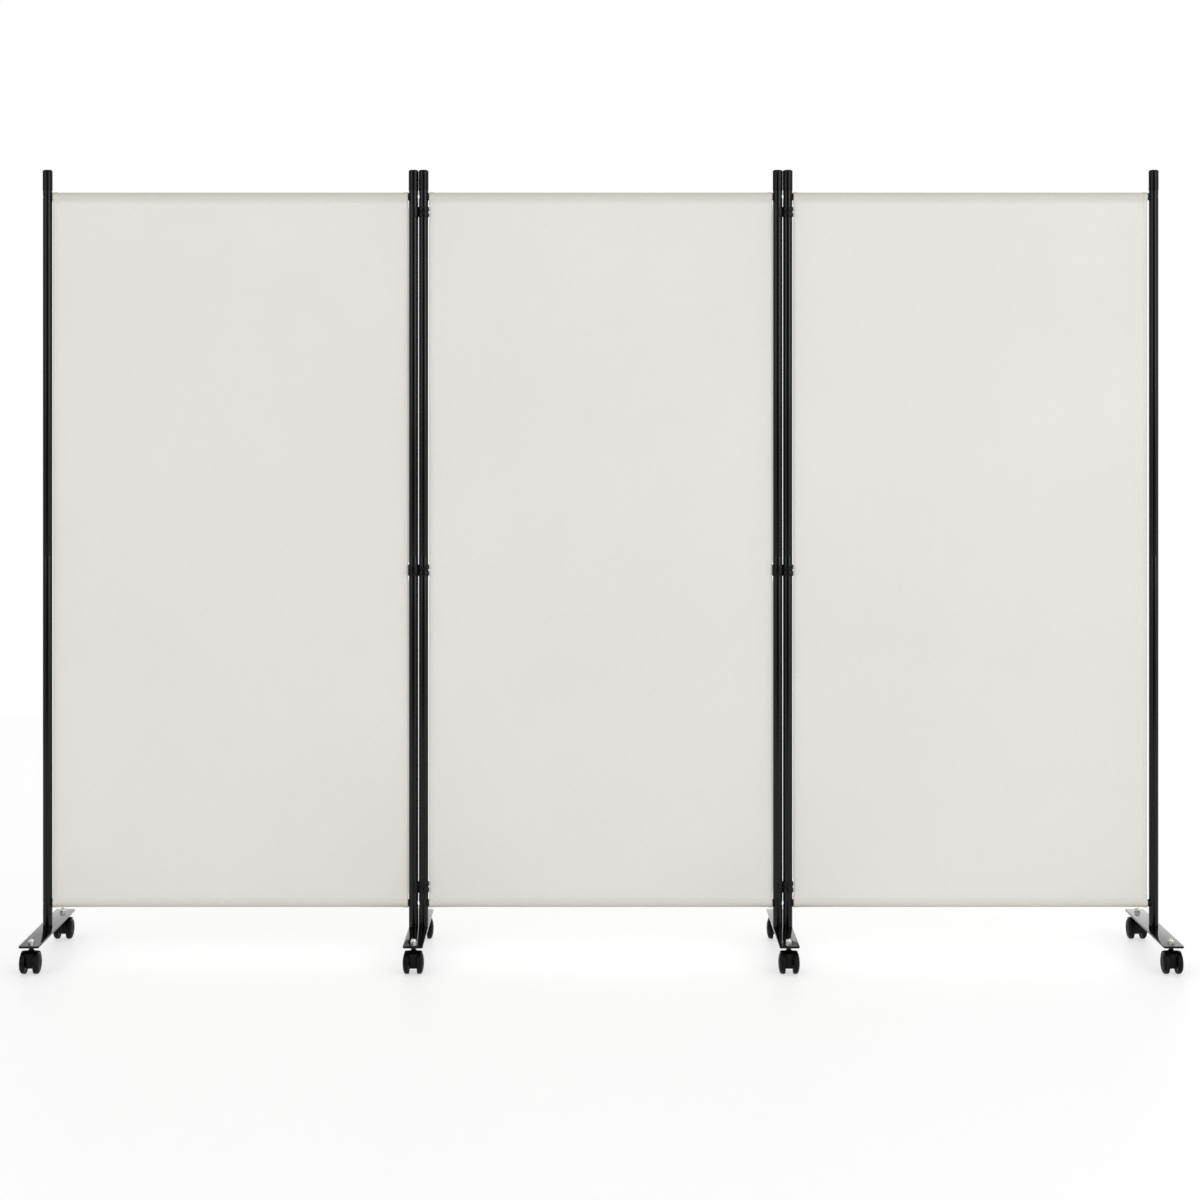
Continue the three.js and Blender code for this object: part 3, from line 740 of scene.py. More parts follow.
def wheel(wheel_radius):
    """The right wheel about the axle: a domed disc with a hub cap, a tyre line and a
    recessed inner side."""
    dome = []
    for k in range(DOME_STEPS + 1):
        radius = WHEEL_CAP_RADIUS + (wheel_radius - WHEEL_CAP_RADIUS) * (1 - k / DOME_STEPS)
        lift = WHEEL_DOME * math.sqrt(max(0, 1 - (radius / wheel_radius) ** 2))
        if abs(radius - WHEEL_RIM_RADIUS) < (wheel_radius - WHEEL_CAP_RADIUS) / DOME_STEPS / 2:
            dome.append((radius + WHEEL_GROOVE, TREAD_END + lift, 0))
            dome.append((radius, TREAD_END + lift - WHEEL_GROOVE, 0))
            dome.append((radius - WHEEL_GROOVE, TREAD_END + lift, 0))
            continue
        dome.append((radius, TREAD_END + lift, 0))
    cap_lift = WHEEL_DOME * math.sqrt(1 - (WHEEL_CAP_RADIUS / wheel_radius) ** 2)
    inner_rim = WHEEL_RIM_RADIUS + WHEEL_GROOVE
    corners = [
        (0, WHEEL_START, 0),
        (WHEEL_HUB_RADIUS, WHEEL_START, 0),
        (WHEEL_HUB_RADIUS, WHEEL_START + WHEEL_RECESS, 0),
        (inner_rim, WHEEL_START + WHEEL_RECESS, 0),
        (inner_rim, WHEEL_START, 0),
        (wheel_radius, WHEEL_START, TREAD_EDGE_RADIUS),
        *dome,
        (WHEEL_CAP_RADIUS - WHEEL_GROOVE, TREAD_END + cap_lift - WHEEL_GROOVE, 0),
        (WHEEL_CAP_EDGE_RADIUS, TREAD_END + cap_lift, 0),
        (0, TREAD_END + WHEEL_DOME, 0),
    ]
    return along_x(lathe(rounded(corners, closed=False)))


def build_casters():
    _, wheel_size, _, _ = node_box("left_outer_front_caster_wheels")
    _, hood_size, _, hood_high = node_box("left_outer_front_caster_hood")
    wheel_radius = wheel_size.z / 2
    neck_top = hood_high.z - wheel_radius - NECK_DROP
    hood_mesh = join(fender(wheel_radius, hood_size.x / 2), hood_web(wheel_radius))
    hood_mesh = join(hood_mesh, hood_neck(wheel_radius, neck_top))
    wheel_mesh = wheel(wheel_radius)
    axle_reach = WHEEL_START + AXLE_TUCK
    axle_mesh = cross_rod(AXLE_RADIUS, -axle_reach, axle_reach)
    for foot in FOOT_POSTS:
        for end, is_rear in (("front", False), ("rear", True)):
            caster = f"{foot}_{end}_caster"
            wheels = caster + "_wheels"
            at = node_box(wheels)[0]
            hood = caster + "_hood"
            place_piece(hood + "_finished", hood_mesh, "hood", body_of_node(hood), at, is_rear, [hood])
            body = body_of_node(wheels)
            place_piece(caster + "_right_wheel", wheel_mesh, "wheel", body, at, False, [wheels])
            place_piece(caster + "_left_wheel", wheel_mesh, "wheel", body, at, True)
            place_piece(caster + "_axle", axle_mesh, "hardware", body, at)


# Fabric


def smooth_step(value):
    value = min(1, max(0, value))
    return value * value * (3 - 2 * value)


class Cloth:
    """One panel's sheet: a strip that leaves a pocket behind the bottom rail, goes round
    that rail, up the front and over the top rail into the other pocket."""

    def __init__(self, panel):
        self.panel = panel
        low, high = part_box(panel + "_fabric")
        self.left, self.right = low.x, high.x
        self.top_z = node_box(panel + "_top_rail")[0].z
        self.bottom_z = node_box(panel + "_bottom_rail")[0].z
        left, right = PANEL_POSTS[panel]
        self.clamps = (
            self.clamp_ranges(left, ("top", "middle", "bottom")),
            self.clamp_ranges(right, ("middle",)),
        )
        self.post_faces = (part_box(left + "_lower_tube")[1].x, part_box(right + "_lower_tube")[0].x)
        self.path = self.whole_path()
        self.normals = self.path_normals()

    def clamp_ranges(self, post, levels):
        """The heights at which an edge has to stay clear of a connector. The clips of the
        upper and lower ones leave the right edges free."""
        ranges = []
        for pair in PAIRS:
            if post in FOOT_POSTS[pair].values():
                for level in levels:
                    _, _, low, high = node_box(f"{pair}_{level}_connector")
                    ranges.append((low.z, high.z))
        return ranges

    def half_path(self):
        """The strip above its middle, from the sheet to the end of the seam's allowance."""
        middle_z = (self.top_z + self.bottom_z) / 2
        radius = RAIL_RADIUS + POCKET_GAP + CLOTH_THICKNESS / 2
        leave = math.degrees(math.acos(radius / SEAM_DROP)) - 90
        seam_z = self.top_z - SEAM_DROP
        corners = [(0, middle_z, 0), (0, seam_z, SEAM_BEND_RADIUS)]
        for point in arc(radius, 180 - leave, leave, POCKET_STEPS):
            corners.append((point.x, self.top_z + point.y, 0))
        corners.append((LAYER_OFFSET, seam_z, LAYER_BEND_RADIUS))
        corners.append((LAYER_OFFSET, seam_z - SEAM_ALLOWANCE, 0))
        return rounded(corners, closed=False)

    def whole_path(self):
        upper = self.half_path()
        total = self.top_z + self.bottom_z
        lower = [Vector((p.x, total - p.y)) for p in upper]
        corners = lower[:0:-1] + upper
        return subdivided(corners, self.row_step)

    def row_step(self, height):
        """How far apart the strip's rows are at a height."""
        to_connector = min(self.to_connector(height, side) for side in (0, 1)) - CONNECTOR_MARGIN
        is_fine = self.to_seam(height) < FINE_ROWS_REACH or to_connector < CONNECTOR_FADE
        return FINE_ROW_STEP if is_fine else ROW_STEP

    def path_normals(self):
        """The strip's outer side: forwards on the sheet, and away from the rails."""
        normals = []
        last = len(self.path) - 1
        for i in range(last + 1):
            along = self.path[min(i + 1, last)] - self.path[max(i - 1, 0)]
            normals.append(Vector((-along.y, along.x)).normalized())
        return normals

    def to_seam(self, height):
        """How far a height on the sheet is from the nearer seam; below zero on a pocket."""
        return min(self.top_z - SEAM_DROP - height, height - self.bottom_z - SEAM_DROP)

    def to_connector(self, height, side):
        """How far a height on one edge is from the nearest connector there."""
        return min((max(low - height, height - high) for low, high in self.clamps[side]), default=FAR_AWAY)

    def edges(self, height):
        """The sheet's left and right edge at a height: close to the posts, but clear of
        the collars and connectors."""
        on_sheet = smooth_step(self.to_seam(height) / POCKET_FADE)
        made = []
        for side, sign in ((0, 1), (1, -1)):
            sheet_gap = SHEET_EDGE_GAPS[self.panel][side]
            pocket_gap = max(POCKET_EDGE_GAP, sheet_gap)
            gap = pocket_gap + on_sheet * (sheet_gap - pocket_gap)
            clear = smooth_step((self.to_connector(height, side) - CONNECTOR_MARGIN) / CONNECTOR_FADE)
            connector_gap = max(CONNECTOR_EDGE_GAP, gap)
            made.append(self.post_faces[side] + sign * (connector_gap + clear * (gap - connector_gap)))
        return made

    def wrinkle(self, x, height):
        """How far the sheet stands forwards of its plane."""
        to_seam = self.to_seam(height)
        fade = smooth_step(to_seam / WRINKLE_FADE)
        lift = 0
        for depth, wide, tall in WRINKLES:
            lift += fade * depth * self.ripple(x / wide, height / tall)
        depth, tall = EDGE_WRINKLE
        for edge in self.edges(height):
            near = 1 - smooth_step(abs(x - edge) / EDGE_WRINKLE_REACH)
            lift += fade * near * depth * self.ripple(edge, height / tall)
            gap = abs(abs(x - edge) - HEM_STITCH_INSET)
            lift -= fade * STITCH_DENT * (1 - smooth_step(gap / STITCH_DENT_REACH))
        depth, pitch = PUCKER
        near = 1 - smooth_step(abs(to_seam) / PUCKER_REACH)
        return lift + near * depth * self.ripple(x / pitch, 0)

    def ripple(self, across, up):
        return noise.noise(Vector((across, up, self.left)))

    def columns(self):
        """The strip's columns: a share of the width and a distance from there."""
        width = self.right - self.left - 2 * HEM_COLUMNS_END
        steps = round(width / COLUMN_STEP)
        columns = [(0, inward) for inward in HEM_COLUMNS]
        for k in range(1, steps):
            share = k / steps
            columns.append((share, HEM_COLUMNS_END * (1 - 2 * share)))
        columns += [(1, -inward) for inward in HEM_COLUMNS[::-1]]
        return columns

    def inner_share_at(self, height):
        """How much of the hem's fold lies on the strip's inner side: none on a pocket."""
        from_rail = min(self.top_z - height, height - self.bottom_z)
        return smooth_step((from_rail - HEM_FADE_START) / HEM_FADE_LENGTH)

    def faces_at(self, height, inward):
        """How far out the strip's outer and inner sides are, and how far the middle is."""
        fold = HEM_EXTRA if inward <= HEM_WIDTH else 0
        inner_share = self.inner_share_at(height)
        outer = CLOTH_THICKNESS / 2 + fold * (1 - inner_share)
        inner = -CLOTH_THICKNESS / 2 - fold * inner_share
        return outer, inner, (outer + inner) / 2

    def surface(self, i, share, offset, is_outer):
        """A point of the strip's outer or inner side."""
        point = self.path[i]
        left, right = self.edges(point.y)
        x = left + share * (right - left) + offset
        inward = min(x - left, right - x)
        outer, inner, middle = self.faces_at(point.y, inward)
        reach = middle + ((outer if is_outer else inner) - middle) * thickness_share(inward)
        is_sheet = abs(point.x) < SHEET_REACH
        lift = self.wrinkle(x, point.y) if is_sheet else 0
        place = point + self.normals[i] * reach
        return Vector((x, place.x - lift, place.y))

    def mesh(self):
        """The strip's two sides and the rim that closes them."""
        columns = self.columns()
        wide, tall = len(columns), len(self.path)
        vertices = []
        for is_outer in (True, False):
            for i in range(tall):
                for share, offset in columns:
                    vertices.append(self.surface(i, share, offset, is_outer))
        faces = []
        inner = wide * tall
        for i in range(tall - 1):
            for j in range(wide - 1):
                a = i * wide + j
                quad = (a, a + 1, a + wide + 1, a + wide)
                faces.append(quad)
                faces.append(tuple(inner + v for v in quad[::-1]))
        right_side = range(2 * wide - 1, inner, wide)
        last_row = range(inner - wide, inner)
        left_side = range(wide, inner - wide, wide)
        rim = [*range(wide), *right_side, *last_row[-2::-1], *left_side[::-1]]
        for a, b in zip(rim, rim[1:] + rim[:1]):
            faces.append((a, inner + a, inner + b, b))
        mesh = mesh_of(vertices, faces)
        # Marks the columns along both side edges, which the cloth material paints with shade
        shaded_edge_mask = []
        for share, offset in columns:
            shaded_edge_mask.append(float(share in (0, 1) and abs(offset) < CLOTH_EDGE_SHADE_WIDTH))
        attribute = mesh.attributes.new("shaded_edge_mask", "FLOAT", "POINT")
        attribute.data.foreach_set("value", shaded_edge_mask * (2 * tall))
        return mesh

    def both_sides(self, x, height, front, back):
        """The places on the front and the back of the sheet, so far forwards of its middle."""
        lift = self.wrinkle(x, height)
        return [Vector((x, -lift - reach, height)) for reach in (front, back)]

    def seam_stitches(self):
        """The middles of the stitches along both pockets, in front and behind."""
        places = []
        width = self.right - self.left
        count = int(width / STITCH_PITCH)
        upper = self.top_z - SEAM_DROP - SEAM_STITCH_DROP
        lower = self.bottom_z + SEAM_DROP + SEAM_STITCH_DROP
        for seam_z in (upper, lower):
            for k in range(count):
                x = self.left + (k + 1 / 2) * width / count
                fold = HEM_EXTRA if min(x - self.left, self.right - x) <= HEM_WIDTH else 0
                half = CLOTH_THICKNESS / 2 + fold
                places += self.both_sides(x, seam_z, half, -LAYER_OFFSET - half)
        return places

    def hem_stitches(self):
        """The same for the stitches up the two side hems."""
        places = []
        low = self.bottom_z + SEAM_DROP + SEAM_ALLOWANCE + HEM_STITCH_END
        high = self.top_z - SEAM_DROP - SEAM_ALLOWANCE - HEM_STITCH_END
        count = int((high - low) / STITCH_PITCH)
        for k in range(count):
            z = low + (k + 1 / 2) * (high - low) / count
            left, right = self.edges(z)
            front, back, _ = self.faces_at(z, HEM_STITCH_INSET)
            for x in (left + HEM_STITCH_INSET, right - HEM_STITCH_INSET):
                places += self.both_sides(x, z, front, back)
        return places


def thickness_share(inward):
    """How thick the strip is at a column, as a share: its edges are rounded."""
    for column, share in zip(HEM_COLUMNS, EDGE_THICKNESS_SHARES):
        if abs(inward - column) < SAME_PLACE:
            return share
    return 1


def subdivided(points, step_at):
    """The same line with more points, about as far apart as the step there."""
    made = [points[0]]
    for start, end in zip(points, points[1:]):
        gap = (end - start).length
        if gap < TINY:
            continue
        at = 0
        step = step_at(start.y)
        while gap - at > step * LONGEST_STEP_SHARE:
            at += step
            made.append(start + (end - start) * (at / gap))
            step = step_at(made[-1].y)
        made.append(end)
    return made


def stitching(places, along):
    """One mesh of short, tapering lengths of thread that lie along a direction."""
    vertices = []
    faces = []
    outwards = Vector((0, 1, 0))
    side = along.cross(outwards)
    for centre in places:
        faces += skin_faces(len(vertices), len(STITCH_TAPER_SHARES), STITCH_SIDES)
        for place, taper in STITCH_TAPER_SHARES:
            for k in range(STITCH_SIDES):
                angle = math.tau * k / STITCH_SIDES
                out = side * math.cos(angle) + outwards * math.sin(angle)
                vertices.append(centre + along * (place * STITCH_LENGTH) + out * (taper * STITCH_RADIUS))
    return mesh_of(vertices, faces)


def build_fabric():
    for panel in PANEL_POSTS:
        cloth = Cloth(panel)
        node = panel + "_fabric"
        body = body_of_node(node)
        piece = place_piece(panel + "_cloth", cloth.mesh(), "fabric", body, replaces=[node])
        seam_mesh = stitching(cloth.seam_stitches(), Vector((1, 0, 0)))
        hem_mesh = stitching(cloth.hem_stitches(), Vector((0, 0, 1)))
        seams = place_piece(panel + "_seam_stitches", seam_mesh, "thread", body)
        hems = place_piece(panel + "_hem_stitches", hem_mesh, "thread", body)


# Materials
NOISE_DETAIL = 2.0
FINE_DETAIL = 3.0
LINE_DETAIL = 4.0
NOISE_LOW = 0.25
NOISE_HIGH = 0.75


class Nodes:
    """A node tree, with a short way to add and link nodes."""

    def __init__(self, tree):
        self.tree = tree
        coordinates = tree.nodes.new("ShaderNodeTexCoord")
        self.place = coordinates.outputs["Object"]
        self.direction = coordinates.outputs["Generated"]

    def feed(self, socket, value):
        """Sets a socket to a value, or links it to another socket."""
        if isinstance(value, bpy.types.NodeSocket):
            self.tree.links.new(value, socket)
        else:
            socket.default_value = value

    def add(self, kind, settings, inputs):
        """A node with its settings; an input is a value, or a socket to link."""
        node = self.tree.nodes.new(kind)
        for key, value in settings.items():
            setattr(node, key, value)
        for key, value in inputs.items():
            self.feed(node.inputs[key], value)
        return node

    def set(self, name, value):
        """A value or link for the surface shader."""
        self.feed(self.tree.nodes["Principled BSDF"].inputs[name], value)

    def noise(self, scale, detail=NOISE_DETAIL):
        """Noise on the object, with one scale or with a scale along each axis."""
        inputs = {"Vector": self.place, "Scale": scale, "Detail": detail}
        if isinstance(scale, tuple):
            mapping = self.add("ShaderNodeMapping", {}, {"Vector": self.place, "Scale": scale})
            inputs |= {"Vector": mapping.outputs["Vector"], "Scale": 1}
        return self.add("ShaderNodeTexNoise", {}, inputs).outputs["Fac"]

    def ranged(self, value, low, high, from_low=NOISE_LOW, from_high=NOISE_HIGH):
        """A value brought to a new range."""
        inputs = {"Value": value, "From Min": from_low, "From Max": from_high}
        inputs |= {"To Min": low, "To Max": high}
        return self.add("ShaderNodeMapRange", {}, inputs).outputs["Result"]

    def math(self, operation, first, second):
        inputs = {0: first, 1: second}
        return self.add("ShaderNodeMath", {"operation": operation}, inputs).outputs["Value"]

    def mixed(self, share, first, second):
        """Two colours mixed by a share."""
        inputs = {0: share, 6: first, 7: second}
        return self.add("ShaderNodeMix", {"data_type": "RGBA"}, inputs).outputs[2]

    def either(self, share, first, second):
        """The first value, or the second one where the share is one."""
        return self.add("ShaderNodeMix", {}, {0: share, 2: first, 3: second}).outputs[0]

    def bump(self, height, distance):
        inputs = {"Height": height, "Distance": distance}
        return self.add("ShaderNodeBump", {}, inputs).outputs["Normal"]


def new_material(name):
    material = bpy.data.materials.new(name)
    material.use_nodes = True
    return material, Nodes(material.node_tree)


def opaque(colour, factor=1.0):
    return (colour[0] * factor, colour[1] * factor, colour[2] * factor, 1)


# Each black finish: its colour and how much that varies, the range of its roughness, its
# specular level, the scale and depth of its grain, and the scale of its patches
POWDER_COAT = {
    "colour": (0.0016, 0.0015, 0.0015),
    "variation": 0.3,
    "roughness": (0.14, 0.22),
    "specular": 0.24,
    "grain": (900, 0.00002),
    "patches": 7,
}
GLOSS_ENAMEL = {
    "colour": (0.0022, 0.0022, 0.0023),
    "variation": 0.25,
    "roughness": (0.07, 0.13),
    "specular": 0.2,
    "grain": (420, 0.00002),
    "patches": 11,
}
MOULDED_PLASTIC = {
    "colour": (0.0018, 0.0018, 0.0019),
    "variation": 0.35,
    "roughness": (0.2, 0.3),
    "specular": 0.18,
    "grain": (1500, 0.00002),
    "patches": 30,
}
CASTER_NYLON = {
    "colour": (0.0020, 0.0020, 0.0021),
    "variation": 0.35,
    "roughness": (0.36, 0.5),
    "specular": 0.14,
    "grain": (1100, 0.00006),
    "patches": 55,
}
TYRE_NYLON = {
    "colour": (0.0022, 0.0022, 0.0022),
    "variation": 0.45,
    "roughness": (0.4, 0.56),
    "specular": 0.13,
    "grain": (800, 0.00007),
    "patches": 70,
}


def black_finish(name, look):
    """A coated or moulded black surface: fine grain, broad patches of tone and gloss."""
    material, nodes = new_material(name)
    patches = nodes.noise(look["patches"])
    grain_scale, grain_depth = look["grain"]
    grain = nodes.noise(grain_scale, FINE_DETAIL)
    low, high = (1 - look["variation"], 1 + look["variation"])
    dark, light = opaque(look["colour"], low), opaque(look["colour"], high)
    nodes.set("Base Color", nodes.mixed(patches, dark, light))
    nodes.set("Roughness", nodes.ranged(patches, *look["roughness"]))
    nodes.set("Specular IOR Level", look["specular"])
    nodes.set("Normal", nodes.bump(grain, grain_depth))
    return material


# Each metal: its two colours, the scale of the clouds of them (none where the streaks carry
# them), the streaks' scale along each axis and their detail, their depth, and the range of its
# roughness
ZINC_PLATE = {
    "colours": ((0.66, 0.65, 0.62), (0.80, 0.79, 0.76)),
    "clouds": 650,
    "streaks": ((4000, 4000, 300), NOISE_DETAIL),
    "depth": 0.00001,
    "roughness": (0.12, 0.22),
}
DRAWN_STEEL = {
    "colours": ((0.33, 0.33, 0.32), (0.5, 0.5, 0.49)),
    "clouds": None,
    "streaks": ((1800, 1800, 40), LINE_DETAIL),
    "depth": 0.00002,
    "roughness": (0.3, 0.5),
}


def metal_finish(name, look):
    """Bare metal, cloudy or drawn into lines, with fine streaks."""
    material, nodes = new_material(name)
    streaks = nodes.noise(*look["streaks"])
    clouds = nodes.noise(look["clouds"]) if look["clouds"] else streaks
    dull, bright = look["colours"]
    nodes.set("Base Color", nodes.mixed(clouds, opaque(dull), opaque(bright)))
    nodes.set("Metallic", 1.0)
    nodes.set("Roughness", nodes.ranged(clouds, *look["roughness"]))
    nodes.set("Normal", nodes.bump(streaks, look["depth"]))
    return material


FABRIC_COLOUR = (0.785, 0.758, 0.719)
# Painted shade: the cloth's colour over the pockets, where the black rails would show through
FABRIC_RAIL_SHADE = (0.612, 0.578, 0.516)
# Painted shade along the cloth's side edges: the hem's shaded edge and the posts' shadow beside it
FABRIC_EDGE_SHADE = 0.87
FABRIC_TONE_PATCHES = 2.2
FABRIC_TONE = 0.018
FABRIC_SLUB_SCALE = (60, 60, 700)
FABRIC_SLUB_TONE = 0.02
FABRIC_ROUGHNESS = 0.92
FABRIC_SPECULAR = 0.15
WEAVE_PITCH = 0.00055
WEAVE_DEPTH = 0.00007
WEAVE_TONE = 0.05
# Where the painted rail shade begins below the top rail's middle and above the bottom rail's middle, and
# over what length it comes to full
TOP_RAIL_SHADE_START = 0.011
TOP_RAIL_SHADE_LENGTH = 0.013
BOTTOM_RAIL_SHADE_START = 0.0148
BOTTOM_RAIL_SHADE_LENGTH = 0.021


def woven_cloth():
    """Off-white plain weave, with painted shade over the pockets where the black rails show through, and
    painted shade along the side edges.
    """
    material, nodes = new_material("off_white_cloth")
    split = nodes.add("ShaderNodeSeparateXYZ", {}, {"Vector": nodes.place})
    rate = math.tau / WEAVE_PITCH
    warp = nodes.math("SINE", nodes.math("MULTIPLY", split.outputs["X"], rate), 0.0)
    weft = nodes.math("SINE", nodes.math("MULTIPLY", split.outputs["Z"], rate), 0.0)
    weave = nodes.math("MULTIPLY", warp, weft)
    slub = nodes.noise(FABRIC_SLUB_SCALE)
    tone = nodes.noise(FABRIC_TONE_PATCHES)
    level = nodes.math(
        "ADD",
        nodes.ranged(tone, 1 - FABRIC_TONE, 1 + FABRIC_TONE),
        nodes.math("MULTIPLY", nodes.ranged(slub, -1.0, 1.0), FABRIC_SLUB_TONE),
    )
    level = nodes.math("ADD", level, nodes.math("MULTIPLY", weave, WEAVE_TONE / 2))
    # Painted shade over both pockets, where the black rails would show through the cloth
    top_start = node_box("middle_top_rail")[0].z - TOP_RAIL_SHADE_START
    bottom_start = node_box("middle_bottom_rail")[0].z + BOTTOM_RAIL_SHADE_START
    painted_rail_shade = nodes.math(
        "MAXIMUM",
        nodes.ranged(split.outputs["Z"], 0, 1, top_start, top_start + TOP_RAIL_SHADE_LENGTH),
        nodes.ranged(split.outputs["Z"], 0, 1, bottom_start, bottom_start - BOTTOM_RAIL_SHADE_LENGTH),
    )
    colour = nodes.mixed(painted_rail_shade, opaque(FABRIC_COLOUR), opaque(FABRIC_RAIL_SHADE))
    # Painted shade along the side edges of the cloth
    shaded_edge_mask = nodes.add("ShaderNodeAttribute", {"attribute_name": "shaded_edge_mask"}, {})
    painted_edge_level = nodes.ranged(shaded_edge_mask.outputs["Fac"], 1.0, FABRIC_EDGE_SHADE, 0.0, 1.0)
    level = nodes.math("MULTIPLY", level, painted_edge_level)
    inputs = {"Vector": colour, "Scale": level}
    scaled = nodes.add("ShaderNodeVectorMath", {"operation": "SCALE"}, inputs)
    nodes.set("Base Color", scaled.outputs["Vector"])
    nodes.set("Roughness", FABRIC_ROUGHNESS)
    nodes.set("Specular IOR Level", FABRIC_SPECULAR)
    nodes.set("Normal", nodes.bump(weave, WEAVE_DEPTH))
    return material


THREAD_COLOUR = (0.76, 0.74, 0.70)
THREAD_DARK_COLOUR = (0.60, 0.58, 0.54)
THREAD_TWIST_SCALE = (2500, 2500, 2500)
THREAD_TWIST_DEPTH = 0.00006


def sewing_thread():
    """Twisted thread."""
    material, nodes = new_material("sewing_thread")
    twist = nodes.noise(THREAD_TWIST_SCALE)
    nodes.set("Base Color", nodes.mixed(twist, opaque(THREAD_DARK_COLOUR), opaque(THREAD_COLOUR)))
    nodes.set("Roughness", FABRIC_ROUGHNESS)
    nodes.set("Specular IOR Level", FABRIC_SPECULAR)
    nodes.set("Normal", nodes.bump(twist, THREAD_TWIST_DEPTH))
    return material


# Each finish by name: its material and the record's slot
FINISHES = {
    "post": (black_finish("powder_coat", POWDER_COAT), "post_black"),
    "rail": (black_finish("rail_coat", POWDER_COAT), "rail_black"),
    "foot": (black_finish("gloss_enamel", GLOSS_ENAMEL), "foot_black"),
    "cap": (black_finish("cap_plastic", MOULDED_PLASTIC), "cap_black"),
    "plug": (black_finish("plug_plastic", MOULDED_PLASTIC), "cap_black"),
    "connector": (black_finish("connector_plastic", MOULDED_PLASTIC), "connector_black"),
    "hood": (black_finish("caster_nylon", CASTER_NYLON), "caster_black"),
    "wheel": (black_finish("tyre_nylon", TYRE_NYLON), "wheel_black"),
    "hardware": (metal_finish("bright_zinc", ZINC_PLATE), "hardware_steel"),
    "joiner": (metal_finish("drawn_steel", DRAWN_STEEL), "joiner_steel"),
    "fabric": (woven_cloth(), "fabric"),
    "thread": (sewing_thread(), "thread"),
}


def finish_joiners():
    """The joiners keep their CAD shape, with drawn steel on them."""
    material, _ = FINISHES["joiner"]
    for posts in PANEL_POSTS.values():
        for post in posts:
            for slot in frame["nodes"][post + "_joiner"].material_slots:
                slot.material = material


# Floor, light and camera
FLOOR_SIZE = 7.4
FLOOR_SHADOW_SHARE = 0.5
FLOOR_GLOW = 1.08
FLOOR_COLOUR = (0.95, 0.95, 0.95, 1)
FLOOR_ROUGHNESS = 0.5
WORLD_STRENGTH = 0.78
BACKDROP_STRENGTH = 1.0
WHITE = (1, 1, 1, 1)

# The room as shiny surfaces see it: how far a direction points to the back, from -1 at the
# front to 1, and the brightness there, as a share of the room's strength on that side
ROOM_SHARES = ((-0.97, 0.03), (-0.78, 0.8), (-0.4, 0.9), (0.0, 0.35), (0.3, 0.25), (0.8, 0.4), (0.93, 1.2))
LEFT_ROOM_STRENGTH = 1.15
RIGHT_ROOM_STRENGTH = 1.75
ROOM_MIDDLE = 0.35

# Each lamp: where it stands, what it faces, its size, its power and its colour
LAMPS = {
    "key": ((3.8, -4.0, 2.4), (0, 0, 0.8), (2.4, 3.0), 68, (0.93, 1.0, 1.02)),
    "fill": ((-3.8, -4.0, 2.4), (0, 0, 0.8), (2.2, 2.8), 39, (1.0, 0.985, 0.97)),
    "rear": ((0.6, 4.2, 3.4), (0, 0, 0.9), (3.0, 2.0), 40, (1.0, 1.0, 1.0)),
}

CAMERA_PLACE = (-0.037, -5.12, 1.281)
CAMERA_LENS = 67.8
CAMERA_SENSOR = 36
CAMERA_SHIFT = (0.01308, -0.175)


def make_floor():
    """A pale floor that keeps the object's shadow, mostly white as the camera sees it."""
    half = FLOOR_SIZE / 2
    corners = [(-half, -half, 0), (half, -half, 0), (half, half, 0), (-half, half, 0)]
    floor = add_object("floor", mesh_of(corners, [(0, 1, 2, 3)]))
    material, nodes = new_material("pale_floor")
    nodes.set("Base Color", FLOOR_COLOUR)
    nodes.set("Roughness", FLOOR_ROUGHNESS)
    rays = nodes.add("ShaderNodeLightPath", {}, {}).outputs
    seen = nodes.math("MAXIMUM", rays["Is Camera Ray"], rays["Is Glossy Ray"])
    seen = nodes.math("MAXIMUM", seen, rays["Is Transmission Ray"])
    share = nodes.math("MULTIPLY", seen, 1 - FLOOR_SHADOW_SHARE)
    glow = nodes.add("ShaderNodeEmission", {}, {"Color": WHITE, "Strength": FLOOR_GLOW})
    surface = nodes.tree.nodes["Principled BSDF"].outputs["BSDF"]
    inputs = {0: share, 1: surface, 2: glow.outputs["Emission"]}
    mix = nodes.add("ShaderNodeMixShader", {}, inputs)
    nodes.feed(nodes.tree.nodes["Material Output"].inputs["Surface"], mix.outputs["Shader"])
    floor.data.materials.append(material)


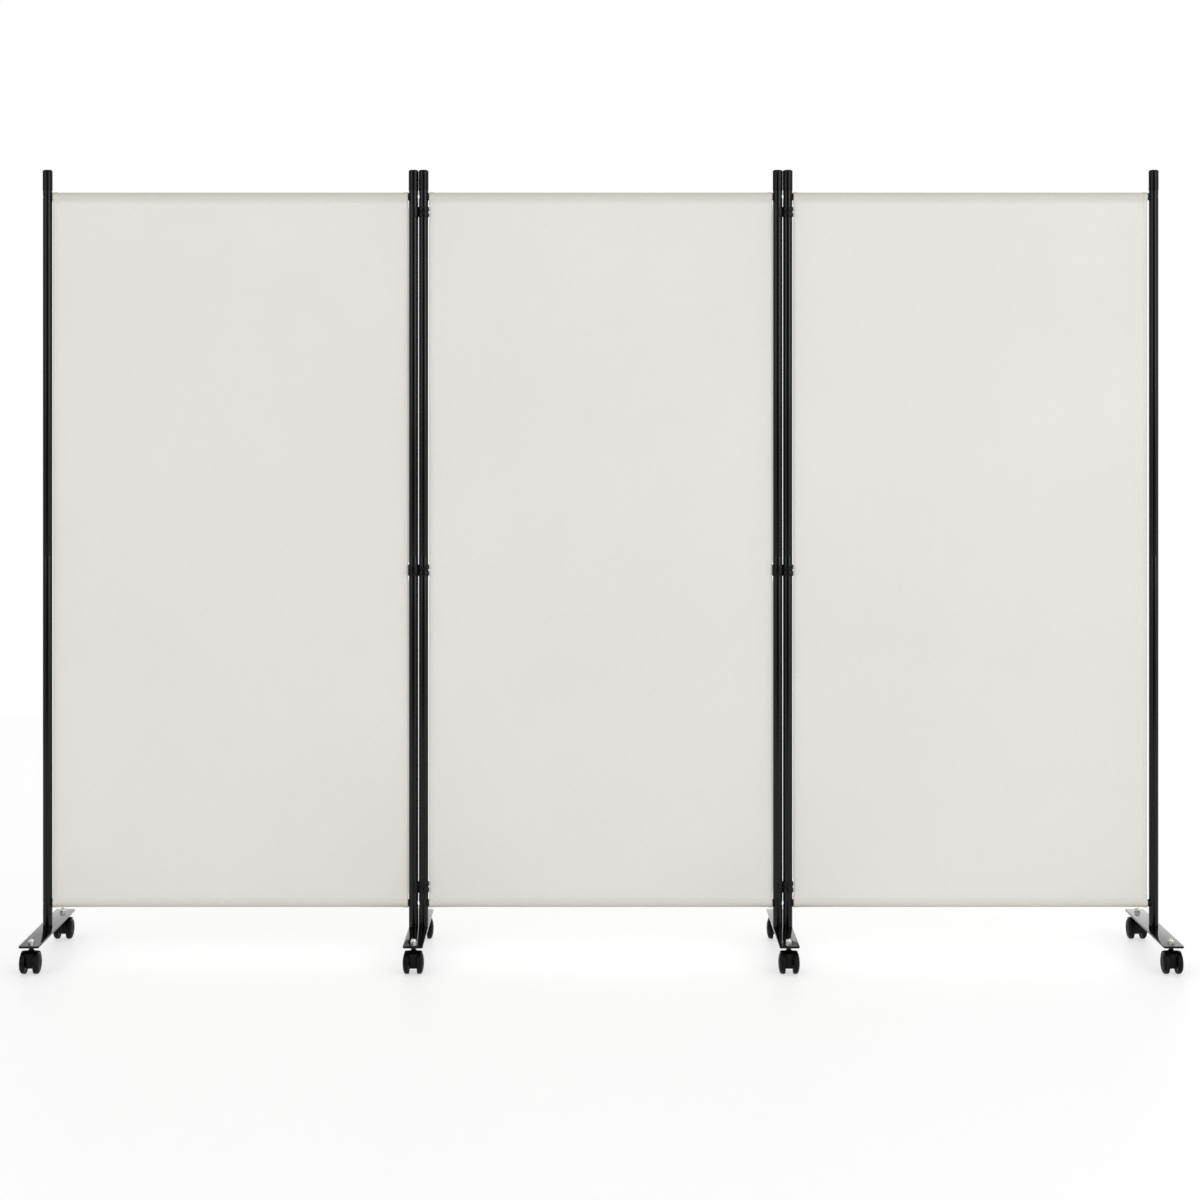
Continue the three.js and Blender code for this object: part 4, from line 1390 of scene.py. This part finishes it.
def room_strength(nodes):
    """How bright the studio is in a direction: dark behind the camera, lit at both sides."""
    split = nodes.add("ShaderNodeSeparateXYZ", {}, {"Vector": nodes.direction})
    backwards = nodes.ranged(split.outputs["Y"], 0, 1, -1, 1)
    ramp = nodes.add("ShaderNodeValToRGB", {}, {"Fac": backwards})
    stops = ramp.color_ramp.elements
    while len(stops) < len(ROOM_SHARES):
        stops.new(1)
    for stop, (place, share) in zip(stops, ROOM_SHARES):
        stop.position = (place + 1) / 2
        stop.color = (share, share, share, 1)
    strengths = (LEFT_ROOM_STRENGTH, RIGHT_ROOM_STRENGTH)
    side = nodes.ranged(split.outputs["X"], *strengths, -ROOM_MIDDLE, ROOM_MIDDLE)
    return nodes.math("MULTIPLY", ramp.outputs["Color"], side)


def make_world():
    """A white studio: plain light on the object, pure white behind it, and the room in
    its reflections."""
    world = bpy.data.worlds.new("studio")
    bpy.context.scene.world = world
    world.use_nodes = True
    nodes = Nodes(world.node_tree)
    rays = nodes.add("ShaderNodeLightPath", {}, {}).outputs
    strength = nodes.either(rays["Is Glossy Ray"], WORLD_STRENGTH, room_strength(nodes))
    strength = nodes.either(rays["Is Camera Ray"], strength, BACKDROP_STRENGTH)
    strength = nodes.either(rays["Is Transmission Ray"], strength, BACKDROP_STRENGTH)
    background = nodes.tree.nodes["Background"]
    background.inputs["Color"].default_value = WHITE
    nodes.feed(background.inputs["Strength"], strength)


def make_lamps():
    for name, (place, target, size, power, colour) in LAMPS.items():
        data = bpy.data.lights.new(name, "AREA")
        data.shape = "RECTANGLE"
        data.size, data.size_y = size
        data.energy = power
        data.color = colour
        lamp = add_object(name, data)
        lamp.location = place
        direction = Vector(target) - Vector(place)
        lamp.rotation_euler = direction.to_track_quat("-Z", "Y").to_euler()


def make_camera():
    """Level and straight on, with the picture shifted down to the screen."""
    data = bpy.data.cameras.new("camera")
    data.lens = CAMERA_LENS
    data.sensor_width = CAMERA_SENSOR
    data.shift_x, data.shift_y = CAMERA_SHIFT
    camera = add_object("camera", data)
    camera.location = CAMERA_PLACE
    camera.rotation_euler = (math.pi / 2, 0, 0)
    bpy.context.scene.camera = camera


bpy.context.scene.view_settings.view_transform = "Standard"
make_camera()
make_world()
make_lamps()
make_floor()
build_posts()
build_rails()
build_connectors()
build_feet()
build_casters()
build_fabric()
finish_joiners()
